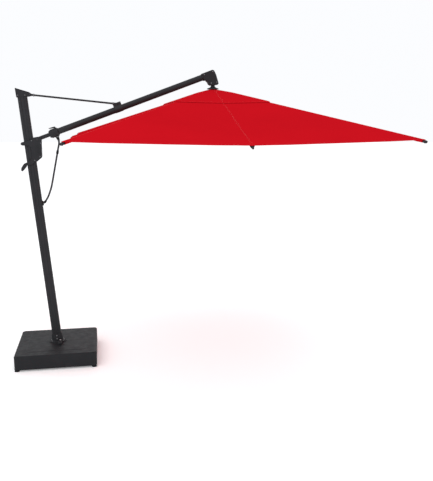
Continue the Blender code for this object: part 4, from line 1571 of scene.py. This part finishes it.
    def build_hub_trim(self) -> None:
        """Locking ring on the neck and the post's foot plug."""
        peak = Stand.peak()
        neck = [(0.0208, 0.0170), (0.0262, 0.0172), (0.0274, 0.0190), (0.0266, 0.0222), (0.0208, 0.0226)]
        ring = Draft().turned(neck, 32, closed=True).put(Matrix.Translation(peak))
        ring.piece("neck_ring", MouldedPlastic(FITTING_GREY, 0.44), Body.BOOM.value)
        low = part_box("hub_post")[0][2]
        knob = [(0.0090, -0.0040), (0.0150, -0.0010), (0.0170, 0.0050), (0.0160, 0.0120), (0.0164, 0.0130)]
        plug = Draft().turned(knob, 24).put(Matrix.Translation((peak.x, 0, low)))
        plug.piece("post_plug", Rubber(), Body.BOOM.value)

    def build(self) -> None:
        """Build and dress the canopy."""
        self.dress()
        self.build_layers()
        self.build_rib_fittings()
        self.build_hub_pins()
        self.build_hub_trim()


# ---------------------------------------------------------------- lift cord


@dataclass
class LiftCord:
    """Cord that leaves the collar, hangs in front of the mast and goes into it."""

    radius: float = 0.009
    splice: int = 6
    route: tuple[tuple[float, float], ...] = (
        (0.0915, 2.2313), (0.0965, 2.2175), (0.1005, 2.2020), (0.1015, 2.1860),
        (0.0995, 2.1660), (0.0935, 2.1400), (0.0830, 2.0920), (0.0710, 2.0350),
        (0.0545, 1.9570), (0.0400, 1.8890), (0.0210, 1.8000), (0.0090, 1.7500),
        (-0.0040, 1.7120), (-0.0160, 1.6800), (-0.0295, 1.6500), (-0.0440, 1.6265), (-0.0580, 1.6070),
        (-0.0706, 1.5942),
    )

    def points(self) -> list[Vector]:
        """The centre line's points in the frame."""
        middle = Stand.pivot("mast_rotation").x
        return [Vector((middle + x, 0.0, z)) for x, z in self.route]

    def tube(self, name: str, line: list[Vector]) -> bpy.types.Object:
        """Build a round tube along a line, laid out for its braid.

        Args:
            name: the piece's name.
            line: the centre line.

        Returns:
            The piece.
        """
        count = 16
        bm = bmesh.new()
        uv_layer = bm.loops.layers.uv.new("braid")
        side = Vector((0, 1, 0))
        rows = []
        along = []
        walked = 0.0
        for i, point in enumerate(line):
            run = (line[min(i + 1, len(line) - 1)] - line[max(i - 1, 0)]).normalized()
            up = run.cross(side)
            rows.append([bm.verts.new(point + side * u + up * v) for u, v in circle(self.radius, count)])
            walked += (point - line[i - 1]).length if i else 0.0
            along.append(walked)
        girth = 2 * pi * self.radius
        for i in range(len(rows) - 1):
            for j in range(count):
                k = (j + 1) % count
                face = bm.faces.new((rows[i][j], rows[i][k], rows[i + 1][k], rows[i + 1][j]))
                face.smooth = True
                places = ((j, i), (j + 1, i), (j + 1, i + 1), (j, i + 1))
                for loop, (around, step) in zip(face.loops, places):
                    loop[uv_layer].uv = (around / count, along[step] / girth)
        bm.faces.new(list(reversed(rows[0])))
        bm.faces.new(rows[-1])
        bmesh.ops.recalc_face_normals(bm, faces=bm.faces)
        mesh = bpy.data.meshes.new(name)
        bm.to_mesh(mesh)
        bm.free()
        made = bpy.data.objects.new(name, mesh)
        bpy.context.scene.collection.objects.link(made)
        mesh.materials.append(Palette.get(BraidedSheath()))
        LOG.info("made %s", name)
        return made

    def sleeve(
        self, name: str, start: Vector, run: Vector, rows: list[tuple[float, float]], body: Body
    ) -> bpy.types.Object:
        """Build a turned sleeve along the cord.

        Args:
            name: the piece's name.
            start: where it starts on the cord.
            run: the cord's direction there.
            rows: (distance along, radius) of its profile.
            body: the body it rides on.

        Returns:
            The piece.
        """
        profile = [(radius, along) for along, radius in rows]
        made = Draft().turned(profile, 24).put(facing(start, run)).piece(name, Rubber(), body.value)
        return made

    def build(self) -> None:
        """Build both lengths of the cord, the splice and the two boots."""
        points = self.points()
        upper = smooth_line(points[: self.splice + 1], 6)
        lower = smooth_line(points[self.splice :], 6)
        joint = points[self.splice]
        run = (lower[1] - lower[0]).normalized()
        upper_cord = self.tube("lift_cord_top", upper)
        lower_cord = self.tube("lift_cord_hanging", lower)
        ferrule = self.sleeve(
            "cord_ferrule", joint - run * 0.018, run,
            [(0.0, 0.0102), (0.003, 0.0118), (0.014, 0.0122),
             (0.022, 0.0122), (0.033, 0.0118), (0.036, 0.0102)],
            Body.CARRIAGE,
        )
        down = (upper[1] - upper[0]).normalized()
        self.sleeve("cord_boot_top", upper[0] + down * 0.001, down,
                    [(0.0, 0.0165), (0.004, 0.0160), (0.012, 0.0125), (0.026, 0.0104), (0.030, 0.0100)],
                    Body.ARM)
        back = (lower[-2] - lower[-1]).normalized()
        self.sleeve("cord_boot_mast", lower[-1] + back * 0.008, back,
                    [(0.0, 0.0130), (0.006, 0.0124), (0.016, 0.0106), (0.024, 0.0098)], Body.MAST)
        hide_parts("lift_cord_upper")
        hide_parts("lift_cord_lower")
        LOG.info("cord lengths %.3f and %.3f m", length_of(upper), length_of(lower))
        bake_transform(upper_cord)
        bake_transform(lower_cord)


# ---------------------------------------------------------------- studio


@dataclass
class Studio:
    """Pale floor, soft lights and the camera."""

    place: tuple[float, float, float] = (-0.8167, -6.428, 2.391)
    pitch: float = 79.309
    heading: float = -10.238
    lens: float = 47.34
    floor_tone: Colour = (0.93, 0.93, 0.93)

    def build_camera(self) -> None:
        """Place the camera."""
        camera = bpy.data.objects.new("camera", bpy.data.cameras.new("camera"))
        camera.data.lens = self.lens
        camera.data.sensor_width = 36.0
        camera.data.clip_end = 300.0
        camera.location = self.place
        camera.rotation_euler = (radians(self.pitch), 0.0, radians(self.heading))
        bpy.context.scene.collection.objects.link(camera)
        bpy.context.scene.camera = camera

    def build_floor(self) -> None:
        """Lay a wide pale floor."""
        draft = Draft()
        rings = [[Vector((x, y, -0.0005)) for x, y in circle(radius, 64)] for radius in (70.0, 0.5)]
        draft.loft(rings, capped=False)
        draft.bm.faces.new([vert for vert in list(draft.bm.verts)[64:]])
        mesh = bpy.data.meshes.new("floor")
        bmesh.ops.recalc_face_normals(draft.bm, faces=draft.bm.faces)
        draft.bm.to_mesh(mesh)
        draft.bm.free()
        floor = bpy.data.objects.new("floor", mesh)
        bpy.context.scene.collection.objects.link(floor)
        shader = Shader("floor_paint", 0.85)
        shader.surface.inputs["Specular IOR Level"].default_value = 0.1
        shader.surface.inputs["Emission Color"].default_value = (1.0, 1.0, 1.0, 1.0)
        shader.surface.inputs["Emission Strength"].default_value = 0.22
        stops = [(0.3, tint(self.floor_tone, 0.99)), (0.7, self.floor_tone)]
        shader.shades(shader.noise(shader.place(), 0.7), stops)
        mesh.materials.append(shader.material)

    def build_lights(self) -> None:
        """Hang soft panels above and around, and fill from the sky."""
        panels = (
            ("key", (-5.0, -6.5, 7.0), 6.0, 190.0),
            ("fill", (6.5, -5.0, 5.0), 7.0, 70.0),
            ("top", (0.0, 0.5, 8.5), 9.0, 90.0),
            ("back", (1.0, 8.0, 6.0), 7.0, 60.0),
        )
        for name, place, size, power in panels:
            light = bpy.data.lights.new(name, "AREA")
            light.shape = "DISK"
            light.size = size
            light.energy = power
            lamp = bpy.data.objects.new(name, light)
            lamp.location = place
            aim = Vector((0.0, 0.0, 1.6)) - Vector(place)
            lamp.rotation_euler = aim.to_track_quat("-Z", "Y").to_euler()
            bpy.context.scene.collection.objects.link(lamp)
        world = bpy.data.worlds.new("sky")
        world.use_nodes = True
        sky = world.node_tree.nodes["Background"]
        sky.inputs["Color"].default_value = (0.97, 0.98, 1.0, 1.0)
        sky.inputs["Strength"].default_value = 1.0
        bpy.context.scene.world = world
        bpy.context.scene.view_settings.view_transform = "Standard"

    def build(self) -> None:
        """Build the studio."""
        self.build_camera()
        self.build_floor()
        self.build_lights()


def write_sizes() -> None:
    """Bring the scene's object positions up to date."""
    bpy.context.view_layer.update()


def main() -> None:
    """Build every sub-assembly in order."""
    logging.basicConfig(level=logging.INFO, format="%(message)s", stream=sys.stdout)
    Studio().build()
    LiftCord().build()
    WeightedBase().build()
    Mast().build()
    Carriage().build()
    BoomArm().build()
    Canopy().build()
    write_sizes()


if __name__ == "__main__":
    main()
